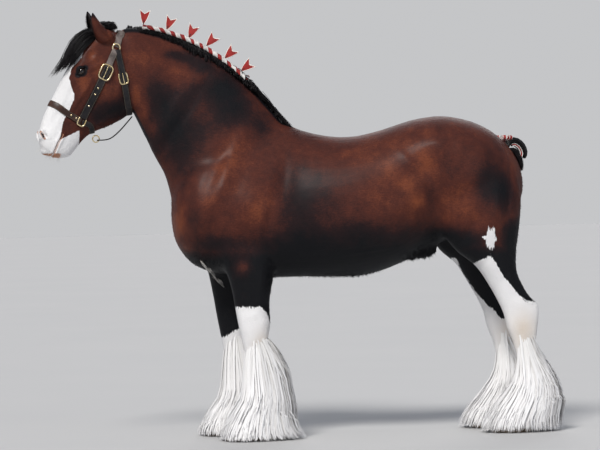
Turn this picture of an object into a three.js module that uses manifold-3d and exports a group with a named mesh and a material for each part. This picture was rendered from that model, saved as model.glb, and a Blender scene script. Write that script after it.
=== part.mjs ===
// A life-size Clydesdale stallion, standing, dressed for a show: leather halter, ribboned mane roll with
// six flags, and a bunned tail. Millimetres. +X runs towards the tail, -Y to the horse's left side, +Z up.
import * as THREE from "three";
import { mergeVertices } from "three/addons/utils/BufferGeometryUtils.js";
import Module from "manifold-3d";

const wasm = await Module();
wasm.setup();

const { abs, atan2, cos, exp, hypot, max, min, PI, round, sign, sin } = Math;
const V = (x, y, z) => new THREE.Vector3(x, y, z);
const LEFT = -1;
const RIGHT = 1;
const SIDES = { left: LEFT, right: RIGHT };

// Driving sizes
const GAP = 0.3; // clearance between nodes that touch
const GROWN = 0.7; // how much a neighbour is grown before it cuts another node
const HEAD_TURN = (8 * PI) / 180; // the head looks a little to the horse's left
const TURN_FROM = 0.72; // section of the neck, from 0 at the poll, where the turn begins
const TURN_TO = 0.14; // section where the turn is complete
const FORE_STAGGER = -85; // the right forefoot stands this far ahead of the left one
const HIND_STAGGER = -60;
const HOCK_TOP = 1100; // height where a hind leg parts from the rump
const ELBOW_TOP = 1010; // height where a foreleg parts from the chest

// Each row is one section of a form, seen from the side:
// [upper or front x, z, lower or rear x, z, half width, widest line, squareness above, squareness below, y]
const TORSO = [
  [-1072, 1335, -1072, 1215, 70, 0.5, 2.0, 2.0, 0],
  [-1052, 1480, -1052, 1115, 160, 0.5, 2.0, 2.1, 0],
  [-995, 1585, -995, 1025, 222, 0.5, 2.0, 2.2, 0],
  [-915, 1650, -915, 965, 262, 0.5, 1.9, 2.3, 0],
  [-775, 1715, -775, 925, 288, 0.53, 1.7, 2.3, 0],
  [-600, 1768, -600, 908, 292, 0.55, 1.5, 2.2, 0],
  [-445, 1788, -445, 903, 300, 0.57, 1.5, 2.1, 0],
  [-320, 1740, -320, 903, 316, 0.57, 1.65, 2.0, 0],
  [-170, 1705, -170, 900, 335, 0.56, 1.9, 2.0, 0],
  [-30, 1700, -30, 900, 345, 0.55, 2.1, 2.0, 0],
  [115, 1728, 115, 925, 345, 0.54, 2.2, 2.0, 0],
  [230, 1763, 230, 968, 335, 0.5, 2.3, 2.0, 0],
  [330, 1790, 330, 1022, 325, 0.47, 2.4, 1.9, 0],
  [460, 1806, 460, 1075, 325, 0.45, 2.5, 1.8, 0],
  [575, 1792, 575, 1120, 318, 0.45, 2.4, 1.8, 0],
  [690, 1755, 690, 1160, 296, 0.45, 2.3, 1.9, 0],
  [785, 1698, 785, 1195, 258, 0.47, 2.2, 2.0, 0],
  [865, 1620, 865, 1235, 200, 0.5, 2.1, 2.0, 0],
  [915, 1535, 915, 1290, 130, 0.5, 2.0, 2.0, 0],
  [938, 1450, 938, 1350, 50, 0.5, 2.0, 2.0, 0],
];
const NECK = [
  [-1400, 2290, -1320, 1930, 62, 0.5, 2.0, 1.9, 0],
  [-1305, 2338, -1262, 1815, 92, 0.5, 1.8, 1.9, 0],
  [-1145, 2315, -1212, 1705, 100, 0.5, 1.7, 1.9, 0],
  [-985, 2260, -1162, 1600, 110, 0.52, 1.6, 2.0, 0],
  [-850, 2192, -1112, 1505, 124, 0.55, 1.6, 2.0, 0],
  [-710, 2088, -1085, 1412, 148, 0.57, 1.6, 2.1, 0],
  [-580, 1962, -1058, 1300, 180, 0.58, 1.6, 2.1, 0],
  [-445, 1800, -975, 1150, 215, 0.58, 1.6, 2.1, 0],
  [-345, 1655, -775, 1050, 215, 0.58, 1.8, 2.0, 0],
];
const HEAD = [
  [-1365, 2315, -1260, 1912, 76, 0.45, 2.0, 2.0, 0],
  [-1420, 2338, -1292, 1862, 92, 0.45, 2.1, 2.0, 0],
  [-1490, 2320, -1338, 1825, 103, 0.42, 2.3, 1.8, 0],
  [-1548, 2275, -1394, 1796, 110, 0.36, 2.6, 1.7, 0],
  [-1598, 2208, -1445, 1775, 110, 0.32, 2.9, 1.6, 0],
  [-1640, 2140, -1487, 1760, 98, 0.34, 2.8, 1.6, 0],
  [-1680, 2072, -1520, 1745, 84, 0.38, 2.5, 1.7, 0],
  [-1718, 2003, -1546, 1730, 70, 0.42, 2.3, 1.8, 0],
  [-1754, 1937, -1572, 1708, 60, 0.45, 2.2, 1.9, 0],
  [-1788, 1870, -1598, 1680, 60, 0.47, 2.2, 2.0, 0],
  [-1813, 1808, -1622, 1650, 67, 0.42, 2.2, 2.1, 0],
  [-1828, 1748, -1658, 1616, 69, 0.4, 2.2, 2.2, 0],
  [-1824, 1692, -1716, 1608, 58, 0.45, 2.2, 2.2, 0],
  [-1806, 1648, -1752, 1618, 30, 0.5, 2.1, 2.1, 0],
];
const FORELEG = [
  [-930, 1440, -560, 1470, 70, 0.5, 2.0, 2.0, 120],
  [-915, 1270, -525, 1290, 108, 0.5, 2.0, 2.0, 150],
  [-868, 1095, -505, 1100, 112, 0.5, 2.1, 2.0, 165],
  [-792, 950, -520, 925, 94, 0.5, 2.2, 2.0, 174],
  [-762, 850, -535, 830, 78, 0.48, 2.2, 2.0, 182],
  [-745, 750, -545, 745, 64, 0.48, 2.2, 2.2, 187],
  [-732, 672, -545, 655, 63, 0.48, 2.5, 2.4, 190],
  [-715, 580, -556, 570, 58, 0.48, 2.4, 2.2, 192],
  [-697, 485, -578, 480, 44, 0.45, 2.2, 2.0, 194],
  [-692, 370, -583, 365, 40, 0.45, 2.2, 2.0, 196],
  [-700, 280, -566, 275, 46, 0.48, 2.2, 2.0, 198],
  [-712, 215, -548, 205, 55, 0.5, 2.2, 2.1, 199],
  [-732, 155, -582, 140, 52, 0.48, 2.2, 2.1, 200],
  [-752, 100, -602, 78, 64, 0.48, 2.1, 2.1, 200],
];
const HINDLEG = [
  [345, 1480, 880, 1500, 105, 0.5, 2.0, 2.0, 160],
  [385, 1330, 905, 1345, 146, 0.5, 2.1, 2.1, 168],
  [430, 1168, 895, 1180, 136, 0.5, 2.1, 2.1, 172],
  [520, 1038, 872, 1030, 108, 0.46, 2.1, 2.0, 176],
  [628, 950, 872, 915, 84, 0.42, 2.1, 1.9, 177],
  [694, 855, 902, 835, 66, 0.4, 2.1, 1.8, 176],
  [745, 762, 948, 760, 56, 0.38, 2.1, 1.8, 174],
  [786, 672, 996, 705, 54, 0.4, 2.3, 1.9, 172],
  [805, 590, 988, 595, 52, 0.42, 2.4, 2.0, 172],
  [836, 505, 975, 500, 43, 0.42, 2.2, 2.0, 172],
  [856, 415, 970, 410, 38, 0.45, 2.2, 2.0, 174],
  [860, 315, 975, 310, 40, 0.45, 2.2, 2.0, 176],
  [845, 225, 990, 212, 52, 0.48, 2.2, 2.1, 178],
  [805, 155, 948, 138, 50, 0.48, 2.2, 2.1, 180],
  [772, 100, 918, 76, 64, 0.48, 2.1, 2.1, 180],
];
const FEATHER_CORE = 0.5; // the core under the locks reaches half way to the skirt's outline
const FEATHER_ROOT = 0.3; // locks grow from inside the core
const FEATHER_THICK = 13;
const FEATHER_LEAN = 0.6; // locks turn their flat sides a little to the left and right in turn
// Tiers of locks, one over the other: where they start and end on the skirt, from 0 at the knee to 1 at
// the floor, how many, how far round from the rear, and how wide each is
const FEATHER_TIERS = [
  { from: 0.6, to: 1, count: 9, spread: 1, width: 50 },
  { from: 0.34, to: 0.86, count: 6, spread: 0.8, width: 46 },
  { from: 0.05, to: 0.6, count: 4, spread: 0.5, width: 36 },
];
const HOOF_LENGTH = 225;
const HOOF_WIDTH = 196;
const HOOF_TOE = 66; // how far the toe runs ahead of the coronet

// The feather of a leg: [height, reach from the leg's middle to the front, to each side, to the rear]
const FORE_FEATHER = [
  [600, 68, 62, 84],
  [530, 68, 64, 140],
  [430, 78, 76, 175],
  [290, 90, 98, 197],
  [200, 104, 124, 220],
  [110, 124, 150, 262],
  [40, 146, 172, 310],
  [4, 156, 182, 342],
];
const HIND_FEATHER = [
  [560, 62, 58, 84],
  [485, 56, 54, 88],
  [400, 62, 60, 108],
  [325, 76, 74, 148],
  [255, 105, 96, 185],
  [170, 136, 126, 232],
  [80, 165, 152, 268],
  [4, 192, 166, 292],
];

const SHEATH = { x: 350, z: 1042, long: 92, wide: 48, high: 44 };
const KNEE_RISE = 12; // the legs part this far above the knee's row

// Soft swellings and hollows of the big muscles: [x, z, reach along x, reach along z, push]
const MUSCLES = [
  [-700, 1500, 190, 230, 14],
  [-930, 1290, 110, 150, 16],
  [-600, 1240, 150, 170, 16],
  [-415, 1340, 75, 260, -12],
  [370, 1660, 90, 70, 12],
  [385, 1350, 90, 150, -24],
  [640, 1360, 210, 240, 16],
];

// The thin cuts that part torso, neck and head
const NECK_CUT = { point: V(-770, 0, 1565), normal: V(-0.62, 0, 0.785) };
const HEAD_CUT = { point: V(-1322, 0, 2080), normal: V(-0.975, 0, 0.2) };

// The eyes, with lids round an almond opening
const EYE = { x: -1590, y: 80, z: 2092, radius: 26 };
const LID = 5;
const EYE_TILT = (-44 * PI) / 180; // the eye's long axis, which slopes down towards the nose
const EYE_WIDTH = 54;
const EYE_HEIGHT = 38;
const BROW = { x: -1586, y: 62, z: 2104, long: 56, deep: 42, high: 36 };

// A nostril is a slanting comma that opens forward and outward in a low rim.
const NOSTRIL = { x: -1814, y: 40, z: 1738 };
const NOSTRIL_RIM = [20, 17, 34];
const NOSTRIL_CUP = [17, 16, 23];

// The line of the mouth, a thin slit that goes only skin deep, and the fuller upper lip above it
const MOUTH_LINE = [V(-1772, 0, 1592), V(-1752, 0, 1636), V(-1730, 0, 1690), V(-1698, 0, 1742)];
const MOUTH_DEEP = 9;
const MOUTH_OPEN = 4;
const LIP = { x: -1786, z: 1650, long: 30, wide: 44, high: 24 };

// An ear is a cup that opens forward and outward: [height, half width, half depth, lean to the front]
const EAR = [
  [0, 26, 25, 0],
  [40, 36, 26, -2],
  [90, 35, 21, -4],
  [135, 24, 14, -2],
  [178, 5, 4, 6],
];
const EAR_WALL = 5;
const EAR_OPEN = 19; // how far the hollow is moved towards the opening
const EAR_ROOT = { x: -1462, y: 62, z: 2268 };
const EAR_TURN = 0.55; // how far the opening faces outward
// The left ear listens to the side, and the right one stands up and forward.
const EAR_LEAN = { [LEFT]: { out: 0.62, forward: -0.16 }, [RIGHT]: { out: 0.12, forward: -0.34 } };

// Hair: the forelock, the tuft between the ears and the crown strap, the mane on the right side, its short
// end over the withers, and the dock's short hair
const FORELOCK = { count: 7, width: 26, thick: 7 };
const POLL_TUFT = { count: 4, width: 17, thick: 8 };
const MANE = { count: 12, width: 40, thick: 9, length: 300 };
const MANE_END = { count: 6, width: 25, thick: 9, length: 180 };
const DOCK_HAIR = { count: 7, width: 15, thick: 7 };
const CREST = new THREE.CatmullRomCurve3([
  V(-1330, 0, 2342),
  V(-1145, 0, 2318),
  V(-985, 0, 2263),
  V(-850, 0, 2195),
  V(-710, 0, 2091),
  V(-580, 0, 1964),
  V(-445, 0, 1800),
]);
const DOCK = [
  [800, 1640, 800, 1560, 34, 0.5, 2, 2, 0],
  [858, 1638, 842, 1548, 36, 0.5, 2, 2, 0],
  [905, 1600, 868, 1530, 30, 0.5, 2, 2, 0],
  [932, 1548, 898, 1520, 20, 0.5, 2, 2, 0],
  [938, 1510, 920, 1500, 8, 0.5, 2, 2, 0],
];

// The line that the folded tail hair follows, and the bun of locks along it
const FOLD = [
  V(846, 0, 1600),
  V(868, 0, 1644),
  V(908, 0, 1652),
  V(944, 0, 1626),
  V(962, 0, 1584),
  V(956, 0, 1548),
];
const BUN = { locks: 6, half: 34, width: 13, thick: 13 };
const BAND = { half: 30, thick: 8, drop: 19, from: 0.26, to: 0.94 };
const BOW_LOOPS = [
  [812, 1672],
  [848, 1694],
  [884, 1680],
];

// The mane roll and its ribbons
const ROLL_RADIUS = 13;
const ROLL_SIDE = -30; // it lies on the left of the crest
const ROLL_SPAN = [0.1, 0.76]; // where the roll begins and ends on the crest
const RIBBON = { radius: 6.4, twists: 10, coil: 10.5, lift: 17, side: -8 };
const CREST_CLEAR = 1.2; // room under the roll, which bends with the neck
// Flags are notched hearts of stiff cloth on a short stem, which stand out of the roll.
const FLAG = { stem: 17, long: 75, notch: 20, thick: 2.4, wire: 2.4 };
const FLAG_SIDE = [
  [8, 0.1],
  [20, 0.42],
  [28, 0.74],
  [33, 1],
]; // half width and height of the outline, as a share of its length
const FLAG_PLACES = [
  [-1234, 2352, 0.15],
  [-1104, 2320, 0.43],
  [-978, 2272, 0.46],
  [-880, 2228, 0.76],
  [-778, 2157, 0.83],
  [-688, 2084, 0.95],
];

// The halter: strap widths, and where its metal sits on each side of the head
const STRAP = {
  thick: 5,
  lift: 6.5,
  crown: 42,
  nose: 40,
  throat: 30,
  throatLift: 11,
  chin: 32,
  cheek: 40,
  jaw: 12,
};
const FITTINGS = {
  ring_: { x: -1388, z: 2222, radius: 21, wire: 4, out: 9, stretch: 1 },
  square_: { x: -1590, z: 1812, radius: 21, wire: 4, out: 10, stretch: 1.15 },
  buckle_cheek_: { x: -1455, z: 2085, radius: 32, wire: 4, out: 12, stretch: 1.25 },
  buckle_throat_: { x: -1350, z: 2050, radius: 25, wire: 3.6, out: 12, stretch: 1.3 },
};
const CHIN_RING = { x: -1500, z: 1714, radius: 19, wire: 3.6 };

const MATERIALS = {
  bay: { color: 0x5a2418, roughness: 0.45, metalness: 0 },
  black: { color: 0x15110f, roughness: 0.5, metalness: 0 },
  white: { color: 0xe9e4dc, roughness: 0.7, metalness: 0 },
  horn: { color: 0x4d443a, roughness: 0.5, metalness: 0 },
  eye: { color: 0x160d08, roughness: 0.08, metalness: 0 },
  leather: { color: 0x1c1512, roughness: 0.4, metalness: 0 },
  brass: { color: 0xc9a55a, roughness: 0.25, metalness: 1 },
  red: { color: 0xa81a14, roughness: 0.6, metalness: 0 },
  ribbon: { color: 0xf2efe8, roughness: 0.6, metalness: 0 },
};

// Smooth interpolation of rows of numbers: u runs from 0 at the first row to 1 at the last.
function along(rows, u) {
  const last = rows.length - 1;
  const place = min(max(u, 0), 1) * last;
  const i = min(Math.floor(place), last - 1);
  const f = place - i;
  const [a, b, c, d] = [i - 1, i, i + 1, i + 2].map((k) => rows[min(max(k, 0), last)]);
  return b.map((v, k) => {
    const slope = c[k] - a[k];
    const bend = 2 * a[k] - 5 * v + 4 * c[k] - d[k];
    const twist = 3 * (v - c[k]) + d[k] - a[k];
    return v + 0.5 * f * (slope + f * (bend + f * twist));
  });
}

const power = (v, n) => sign(v) * abs(v) ** n;

// The point of a section at an angle: 0 is its upper or front end, a quarter turn its right side.
function onSection(row, angle, share = 1, grow = 0) {
  const [ax, az, bx, bz, wide, widest, above, below, y] = row;
  const long = hypot(ax - bx, az - bz);
  const reach = (cos(angle) > 0 ? widest : 1 - widest) * long + grow;
  const square = cos(angle) > 0 ? above : below;
  const step = (share * reach * power(cos(angle), 2 / square)) / long;
  const across = share * (wide + grow) * power(sin(angle), 2 / square);
  const cx = ax + (bx - ax) * widest;
  const cz = az + (bz - az) * widest;
  return V(cx + (ax - bx) * step, y + across, cz + (az - bz) * step);
}

// A closed mesh as a solid. A mirrored or reversed one is turned the right way round.
function solid(geometry) {
  geometry.deleteAttribute("normal");
  geometry.deleteAttribute("uv");
  const merged = mergeVertices(geometry, 1e-3);
  const triVerts = new Uint32Array(merged.index.array);
  const vertProperties = merged.attributes.position.array;
  const made = new wasm.Manifold(new wasm.Mesh({ numProp: 3, vertProperties, triVerts }));
  if (made.volume() >= 0) return made;
  for (let i = 0; i < triVerts.length; i += 3) {
    [triVerts[i + 1], triVerts[i + 2]] = [triVerts[i + 2], triVerts[i + 1]];
  }
  return new wasm.Manifold(new wasm.Mesh({ numProp: 3, vertProperties, triVerts }));
}

// Moves each vertex of a unit cylinder or cone to place(u, angle, share): u runs down its length.
function shaped(geometry, sides, steps, place) {
  const p = geometry.attributes.position;
  for (let i = 0; i < p.count; i += 1) {
    const u = round((0.5 - p.getY(i)) * steps) / steps;
    const turn = round((atan2(p.getX(i), p.getZ(i)) / (2 * PI)) * sides);
    const angle = (((turn + sides) % sides) / sides) * 2 * PI;
    const onAxis = hypot(p.getX(i), p.getZ(i)) < 1e-6;
    const q = place(u, angle > PI ? angle - 2 * PI : angle, onAxis ? 0 : 1);
    p.setXYZ(i, q.x, q.y, q.z);
  }
  return solid(geometry);
}

// A closed form through its rows. shape may push each point, as muscles do.
function loft(rows, sides, steps, { grow = 0, shape = (q) => q } = {}) {
  const tube = new THREE.CylinderGeometry(1, 1, 1, sides, steps);
  return shaped(tube, sides, steps, (u, angle, share) =>
    shape(onSection(along(rows, u), angle, share, grow), angle, u),
  );
}

const join = (...solids) => wasm.Manifold.union(solids.flat());

// Keeps the largest closed surface, which drops loose scraps and fills sealed hollows.
function largest(made) {
  return made.decompose().reduce((a, b) => (a.volume() > b.volume() ? a : b));
}

// A block that fills one side of the plane through point, seen along normal.
function beyond(point, normal) {
  const size = 8000;
  const block = new THREE.BoxGeometry(size, size, size).translate(0, 0, size / 2 + GAP / 2);
  const turned = new THREE.Quaternion().setFromUnitVectors(V(0, 0, 1), normal.clone().normalize());
  return solid(block.applyQuaternion(turned).translate(point.x, point.y, point.z));
}

function muscled(point) {
  if (abs(point.y) < 1) return point;
  const push = MUSCLES.reduce(
    (sum, [x, z, rx, rz, h]) =>
      sum + h * exp(-(((point.x - x) / rx) ** 2) - ((point.z - z) / rz) ** 2),
    0,
  );
  const side = min(abs(point.y) / 200, 1);
  return V(point.x, point.y + sign(point.y) * push * side, point.z);
}

// The rows of a leg on one side; a staggered leg swings forward below its joint with the body.
function legRows(rows, side, stagger) {
  const swing = side === RIGHT ? stagger : 0;
  return rows.map((row) => {
    const [ax, az, bx, bz, wide, widest, above, below, y] = row;
    const share = min(max((1400 - az) / 500, 0), 1);
    return [ax + swing * share, az, bx + swing * share, bz, wide, widest, above, below, side * y];
  });
}

const LEGS = [
  ["foreleg_left", FORELEG, LEFT, 0, ELBOW_TOP, FORE_FEATHER],
  ["foreleg_right", FORELEG, RIGHT, FORE_STAGGER, ELBOW_TOP, FORE_FEATHER],
  ["hindleg_left", HINDLEG, LEFT, 0, HOCK_TOP, HIND_FEATHER],
  ["hindleg_right", HINDLEG, RIGHT, HIND_STAGGER, HOCK_TOP, HIND_FEATHER],
].map(([name, table, side, stagger, top, feather]) => {
  return { name, side, top, feather, rows: legRows(table, side, stagger) };
});

// The flesh: torso, neck and head are modelled whole and parted by thin cuts.
function ellipsoid(x, y, z, rx, ry, rz, sides = 16, rings = 10) {
  return solid(new THREE.SphereGeometry(1, sides, rings).scale(rx, ry, rz).translate(x, y, z));
}

const torsoForm = (grow) => loft(TORSO, 22, 24, { grow, shape: muscled });
const neckForm = (grow) => loft(NECK, 18, 10, { grow });
const headForm = (grow) => loft(HEAD, 20, 18, { grow });
const legForm = (leg, grow) => loft(leg.rows, 12, leg.rows.length - 1, { grow });

const ahead = ({ point, normal }) => beyond(point, normal);
const behind = ({ point, normal }) => beyond(point, normal.clone().negate());

const sheath = ellipsoid(SHEATH.x, 0, SHEATH.z, SHEATH.long, SHEATH.wide, SHEATH.high, 10, 6);
const hips = LEGS.map((leg) => legForm(leg, 0).intersect(beyond(V(0, 0, leg.top), V(0, 0, 1))));
const whole = join(torsoForm(0), neckForm(0), headForm(0), sheath, hips);
const grownTrunk = join(torsoForm(GROWN), neckForm(GROWN), headForm(GROWN));

const nodes = new Map(); // name: { made, material, turns }
function add(name, made, material, turns = false) {
  nodes.set(name, { made: largest(made), material, turns });
}

function eyeOpening(side) {
  const almond = new THREE.Shape();
  almond.moveTo(-EYE_WIDTH / 2, 0);
  almond.quadraticCurveTo(0, EYE_HEIGHT, EYE_WIDTH / 2, 0);
  almond.quadraticCurveTo(0, -EYE_HEIGHT * 0.8, -EYE_WIDTH / 2, 0);
  const cut = new THREE.ExtrudeGeometry(almond, { depth: 60, bevelEnabled: false, curveSegments: 3 });
  cut.rotateX(PI / 2).rotateY(EYE_TILT).translate(EYE.x, 0, EYE.z);
  cut.translate(0, EYE.y + 62, 0);
  return solid(cut.scale(1, side, 1));
}

const eyeball = (side, radius) =>
  ellipsoid(EYE.x, side * EYE.y, EYE.z, radius, radius, radius, 10, 7);

// The ridge of bone round an eye, soft on the temple and steeper over the lids
function brow(side) {
  const bone = new THREE.SphereGeometry(1, 8, 6).scale(BROW.long, BROW.deep, BROW.high);
  return solid(bone.rotateY(EYE_TILT).translate(BROW.x, side * BROW.y, BROW.z));
}

function nostril(side, [rx, ry, rz], out) {
  const form = new THREE.SphereGeometry(1, 8, 6).scale(rx, ry, rz);
  form.rotateY(0.32).rotateX(side * 0.3).rotateZ(side * 0.5);
  const x = NOSTRIL.x - out * 0.7;
  return solid(form.translate(x, side * (NOSTRIL.y + out), NOSTRIL.z));
}

function mouth() {
  const line = new THREE.CatmullRomCurve3(MOUTH_LINE).getPoints(4);
  const upper = line.map((q) => new THREE.Vector2(q.x, q.z + MOUTH_OPEN / 2));
  const lower = line.map((q) => new THREE.Vector2(q.x, q.z - MOUTH_OPEN / 2)).reverse();
  const slit = new THREE.Shape([...upper, ...lower]);
  const sheet = new THREE.ExtrudeGeometry(slit, { depth: 200, bevelEnabled: false });
  sheet.translate(0, 0, -100).rotateX(PI / 2);
  return solid(sheet).subtract(headForm(-MOUTH_DEEP));
}

// A lock of hair: a flat blade along path(t), which tapers to its tip. outward(t) is its flat side.
function lock(path, outward, width, thick, { grow = 0, steps = 4, blunt = false } = {}) {
  const blade = new THREE.ConeGeometry(1, 1, 4, steps);
  const full = blunt ? 0.35 : 0.7;
  return shaped(blade, 4, steps, (u, angle, share) => {
    const t = 1 - u;
    const run = path(min(t + 0.02, 1)).sub(path(max(t - 0.02, 0))).normalize();
    const flat = outward(t).clone().addScaledVector(run, -outward(t).dot(run)).normalize();
    const across = run.clone().cross(flat);
    const taper = share * (t >= 1 ? 0 : sin(PI * (0.25 + 0.75 * t) ** 1.1) ** full);
    return path(t)
      .addScaledVector(run, t >= 1 ? grow : 0)
      .addScaledVector(across, (width * taper + grow * share) * cos(angle))
      .addScaledVector(flat, (thick * taper + grow * share) * sin(angle));
  });
}

const curve = (...points) => {
  const line = new THREE.CatmullRomCurve3(points);
  return (t) => line.getPoint(t);
};

// A seeded draw of numbers from 0 to 1, the same each time
function draw(seed) {
  let state = seed;
  return () => {
    state = (state * 16807) % 2147483647;
    return state / 2147483647;
  };
}

// The forelock falls from between the ears and blows forward off the face.
function forelock(grow = 0) {
  const random = draw(11);
  const locks = [];
  for (let i = 0; i < FORELOCK.count; i += 1) {
    const side = (2 * i) / (FORELOCK.count - 1) - 1;
    const fan = abs(side);
    const reach = 0.72 + 0.28 * random();
    const lift = 14 + 34 * random();
    const path = curve(
      V(-1474, side * 40, 2296 - 14 * fan),
      V(-1536 - lift * 0.4, side * 62, 2312 - 58 * fan),
      V(-1612 - lift, side * 66, 2206 - 38 * fan),
      V(-1668 - lift * reach, side * 54, 2118 - 50 * reach),
      V(-1692 - lift * 1.6 * reach, side * 44, 2070 - 84 * reach),
    );
    locks.push(lock(path, () => V(-0.8, side * 0.6, 0.5), FORELOCK.width, FORELOCK.thick, { grow }));
  }
  return locks;
}

// A short tuft of mane stands between the ears and the crown strap.
function pollTuft(grow = 0) {
  const random = draw(23);
  const locks = [];
  for (let i = 0; i < POLL_TUFT.count; i += 1) {
    const side = (2 * i) / (POLL_TUFT.count - 1) - 1;
    const back = 26 * random();
    const path = curve(
      V(-1462 + back, side * 18, 2300),
      V(-1468 + back, side * 26, 2358),
      V(-1430 + back, side * 34, 2380 - 14 * abs(side)),
      V(-1392 + back, side * 40, 2352 - 22 * abs(side)),
    );
    const { width, thick } = POLL_TUFT;
    locks.push(lock(path, () => V(0, side * 0.4, 1), width, thick, { grow, steps: 3 }));
  }
  return locks;
}

const headCuts = [mouth()];
const lip = ellipsoid(LIP.x, 0, LIP.z, LIP.long, LIP.wide, LIP.high, 8, 6);
const headAdds = [lip, ...forelock(), ...pollTuft()];
for (const side of [LEFT, RIGHT]) {
  const lids = eyeball(side, EYE.radius + LID).subtract(eyeOpening(side));
  headAdds.push(lids, brow(side).subtract(eyeOpening(side)), nostril(side, NOSTRIL_RIM, 0));
  headCuts.push(eyeball(side, EYE.radius + GAP), nostril(side, NOSTRIL_CUP, 11));
}
const bareHead = whole.intersect(ahead(HEAD_CUT));
add("head", join(bareHead, headAdds).subtract(join(headCuts)), "bay", true);
add("torso", whole.intersect(behind(NECK_CUT)), "bay");

for (const [name, side] of Object.entries(SIDES)) {
  add("eye_" + name, eyeball(side, EYE.radius), "eye", true);
}

function ear(side) {
  const shell = EAR.map(([z, wide, deep, lean]) => [lean - deep, z, lean + deep, z, wide, 0.5, 2, 2, 0]);
  const hollow = EAR.map(([z, wide, deep, lean]) => {
    const front = lean - deep - EAR_OPEN;
    const rear = lean + deep - EAR_WALL - 1;
    return [front, z + 24, rear, z + 24, max(wide - EAR_WALL, 1.5), 0.5, 2, 2, 0];
  });
  const cup = loft(shell, 10, 5).subtract(loft(hollow, 8, 5));
  const { out, forward } = EAR_LEAN[side];
  const lean = new THREE.Matrix4().makeRotationZ(side * EAR_TURN);
  lean.premultiply(new THREE.Matrix4().makeRotationY(forward));
  lean.premultiply(new THREE.Matrix4().makeRotationX(-side * out));
  lean.setPosition(EAR_ROOT.x, side * EAR_ROOT.y, EAR_ROOT.z);
  return solid(asGeometry(largest(cup)).applyMatrix4(lean)).subtract(grownTrunk);
}

// A solid as a three.js geometry
function asGeometry(made) {
  const { numProp, numVert, vertProperties, triVerts } = made.getMesh();
  const place = new Float32Array(numVert * 3);
  for (let i = 0; i < numVert; i += 1) {
    place.set(vertProperties.subarray(i * numProp, i * numProp + 3), i * 3);
  }
  return new THREE.BufferGeometry()
    .setAttribute("position", new THREE.BufferAttribute(place, 3))
    .setIndex(new THREE.BufferAttribute(new Uint32Array(triVerts), 1));
}

const tufts = join([...forelock(GROWN), ...pollTuft(GROWN)]);
for (const [name, side] of Object.entries(SIDES)) {
  add("ear_" + name, ear(side).subtract(tufts), "bay", true);
}

// The mane hangs on the right side from the crest; behind the roll it lies back over the withers.
function mane(grow = 0) {
  const random = draw(5);
  const locks = [];
  for (let i = 0; i < MANE.count; i += 1) {
    const u = 0.1 + (0.83 * i) / (MANE.count - 1);
    const root = CREST.getPoint(u);
    const long = MANE.length * (0.8 + 0.35 * random()) * (1 - 0.35 * u);
    const back = 20 + 40 * random() + 90 * u;
    const out = along(NECK, u * 0.8 + 0.1)[4];
    const path = curve(
      V(root.x, 4, root.z - 40),
      V(root.x + 8, 34, root.z + 6),
      V(root.x + back * 0.3, out * 0.75 + 16, root.z - long * 0.3),
      V(root.x + back * 0.7, out + 24, root.z - long * 0.65),
      V(root.x + back, out + 34, root.z - long),
    );
    locks.push(lock(path, (t) => V(0, 0.3 + t, 0.9 - t), MANE.width, MANE.thick, { grow }));
  }
  return locks;
}

// Short locks where the mane ends lie back over the withers.
function maneEnd(grow = 0) {
  const random = draw(8);
  const locks = [];
  for (let i = 0; i < MANE_END.count; i += 1) {
    const u = 0.7 + (0.26 * i) / (MANE_END.count - 1);
    const root = CREST.getPoint(u);
    const side = ((i % 3) - 1) * 18;
    const long = MANE_END.length * (0.72 + 0.28 * random());
    const path = curve(
      V(root.x - 20, side * 0.4, root.z - 34),
      V(root.x + 20, side * 0.8, root.z + 8),
      V(root.x + long * 0.55, side * 1.2, root.z - long * 0.5),
      V(root.x + long * 0.92, side * 1.5, root.z - long * 0.86),
    );
    locks.push(lock(path, () => V(0.6, 0, 0.8), MANE_END.width, MANE_END.thick, { grow }));
  }
  return locks;
}

const bareNeck = whole.intersect(behind(HEAD_CUT)).intersect(ahead(NECK_CUT));
const hair = join(mane(), maneEnd()).subtract(torsoForm(GROWN + 1)).intersect(behind(HEAD_CUT));
const torsoTop = torsoForm(GROWN).intersect(behind(NECK_CUT));
add("neck", join(bareNeck, hair).subtract(torsoTop), "bay", true);

// Legs: the upper leg, and the lower leg with its feather, over a hoof.
// featherRows gives the sections of the hanging feather round a leg's middle line.
function featherRows(leg) {
  const middle = (z) => {
    const rows = leg.rows;
    let i = 1;
    while (i < rows.length - 1 && (rows[i][1] + rows[i][3]) / 2 > z) i += 1;
    const [a, b] = [rows[i - 1], rows[i]];
    const za = (a[1] + a[3]) / 2;
    const zb = (b[1] + b[3]) / 2;
    const f = min(max((za - z) / (za - zb), 0), 1.6);
    const mid = (row) => (row[0] + row[2]) / 2;
    return V(mid(a) + (mid(b) - mid(a)) * f, a[8] + (b[8] - a[8]) * f, z);
  };
  return leg.feather.map(([z, front, side, rear]) => {
    const m = middle(z);
    return [m.x - front, z, m.x + rear, z, side, front / (front + rear), 2, 2, m.y];
  });
}

// One lock of feather hangs from inside the core to the skirt's outline: from and to run down the skirt.
function featherLock(rows, angle, from, to, width, drift, lean) {
  const path = (t) => {
    const out = FEATHER_ROOT + (1 - FEATHER_ROOT) * min(t * 1.6, 1) ** 0.8;
    return onSection(along(rows, from + (to - from) * t), angle + drift * t, out);
  };
  const outward = (t) => {
    const u = from + (to - from) * t;
    const middle = onSection(along(rows, u), angle, 0.2);
    return onSection(along(rows, u), angle, 1.2).sub(middle).applyAxisAngle(V(0, 0, 1), lean);
  };
  return lock(path, outward, width, FEATHER_THICK, { steps: 3 });
}

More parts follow.
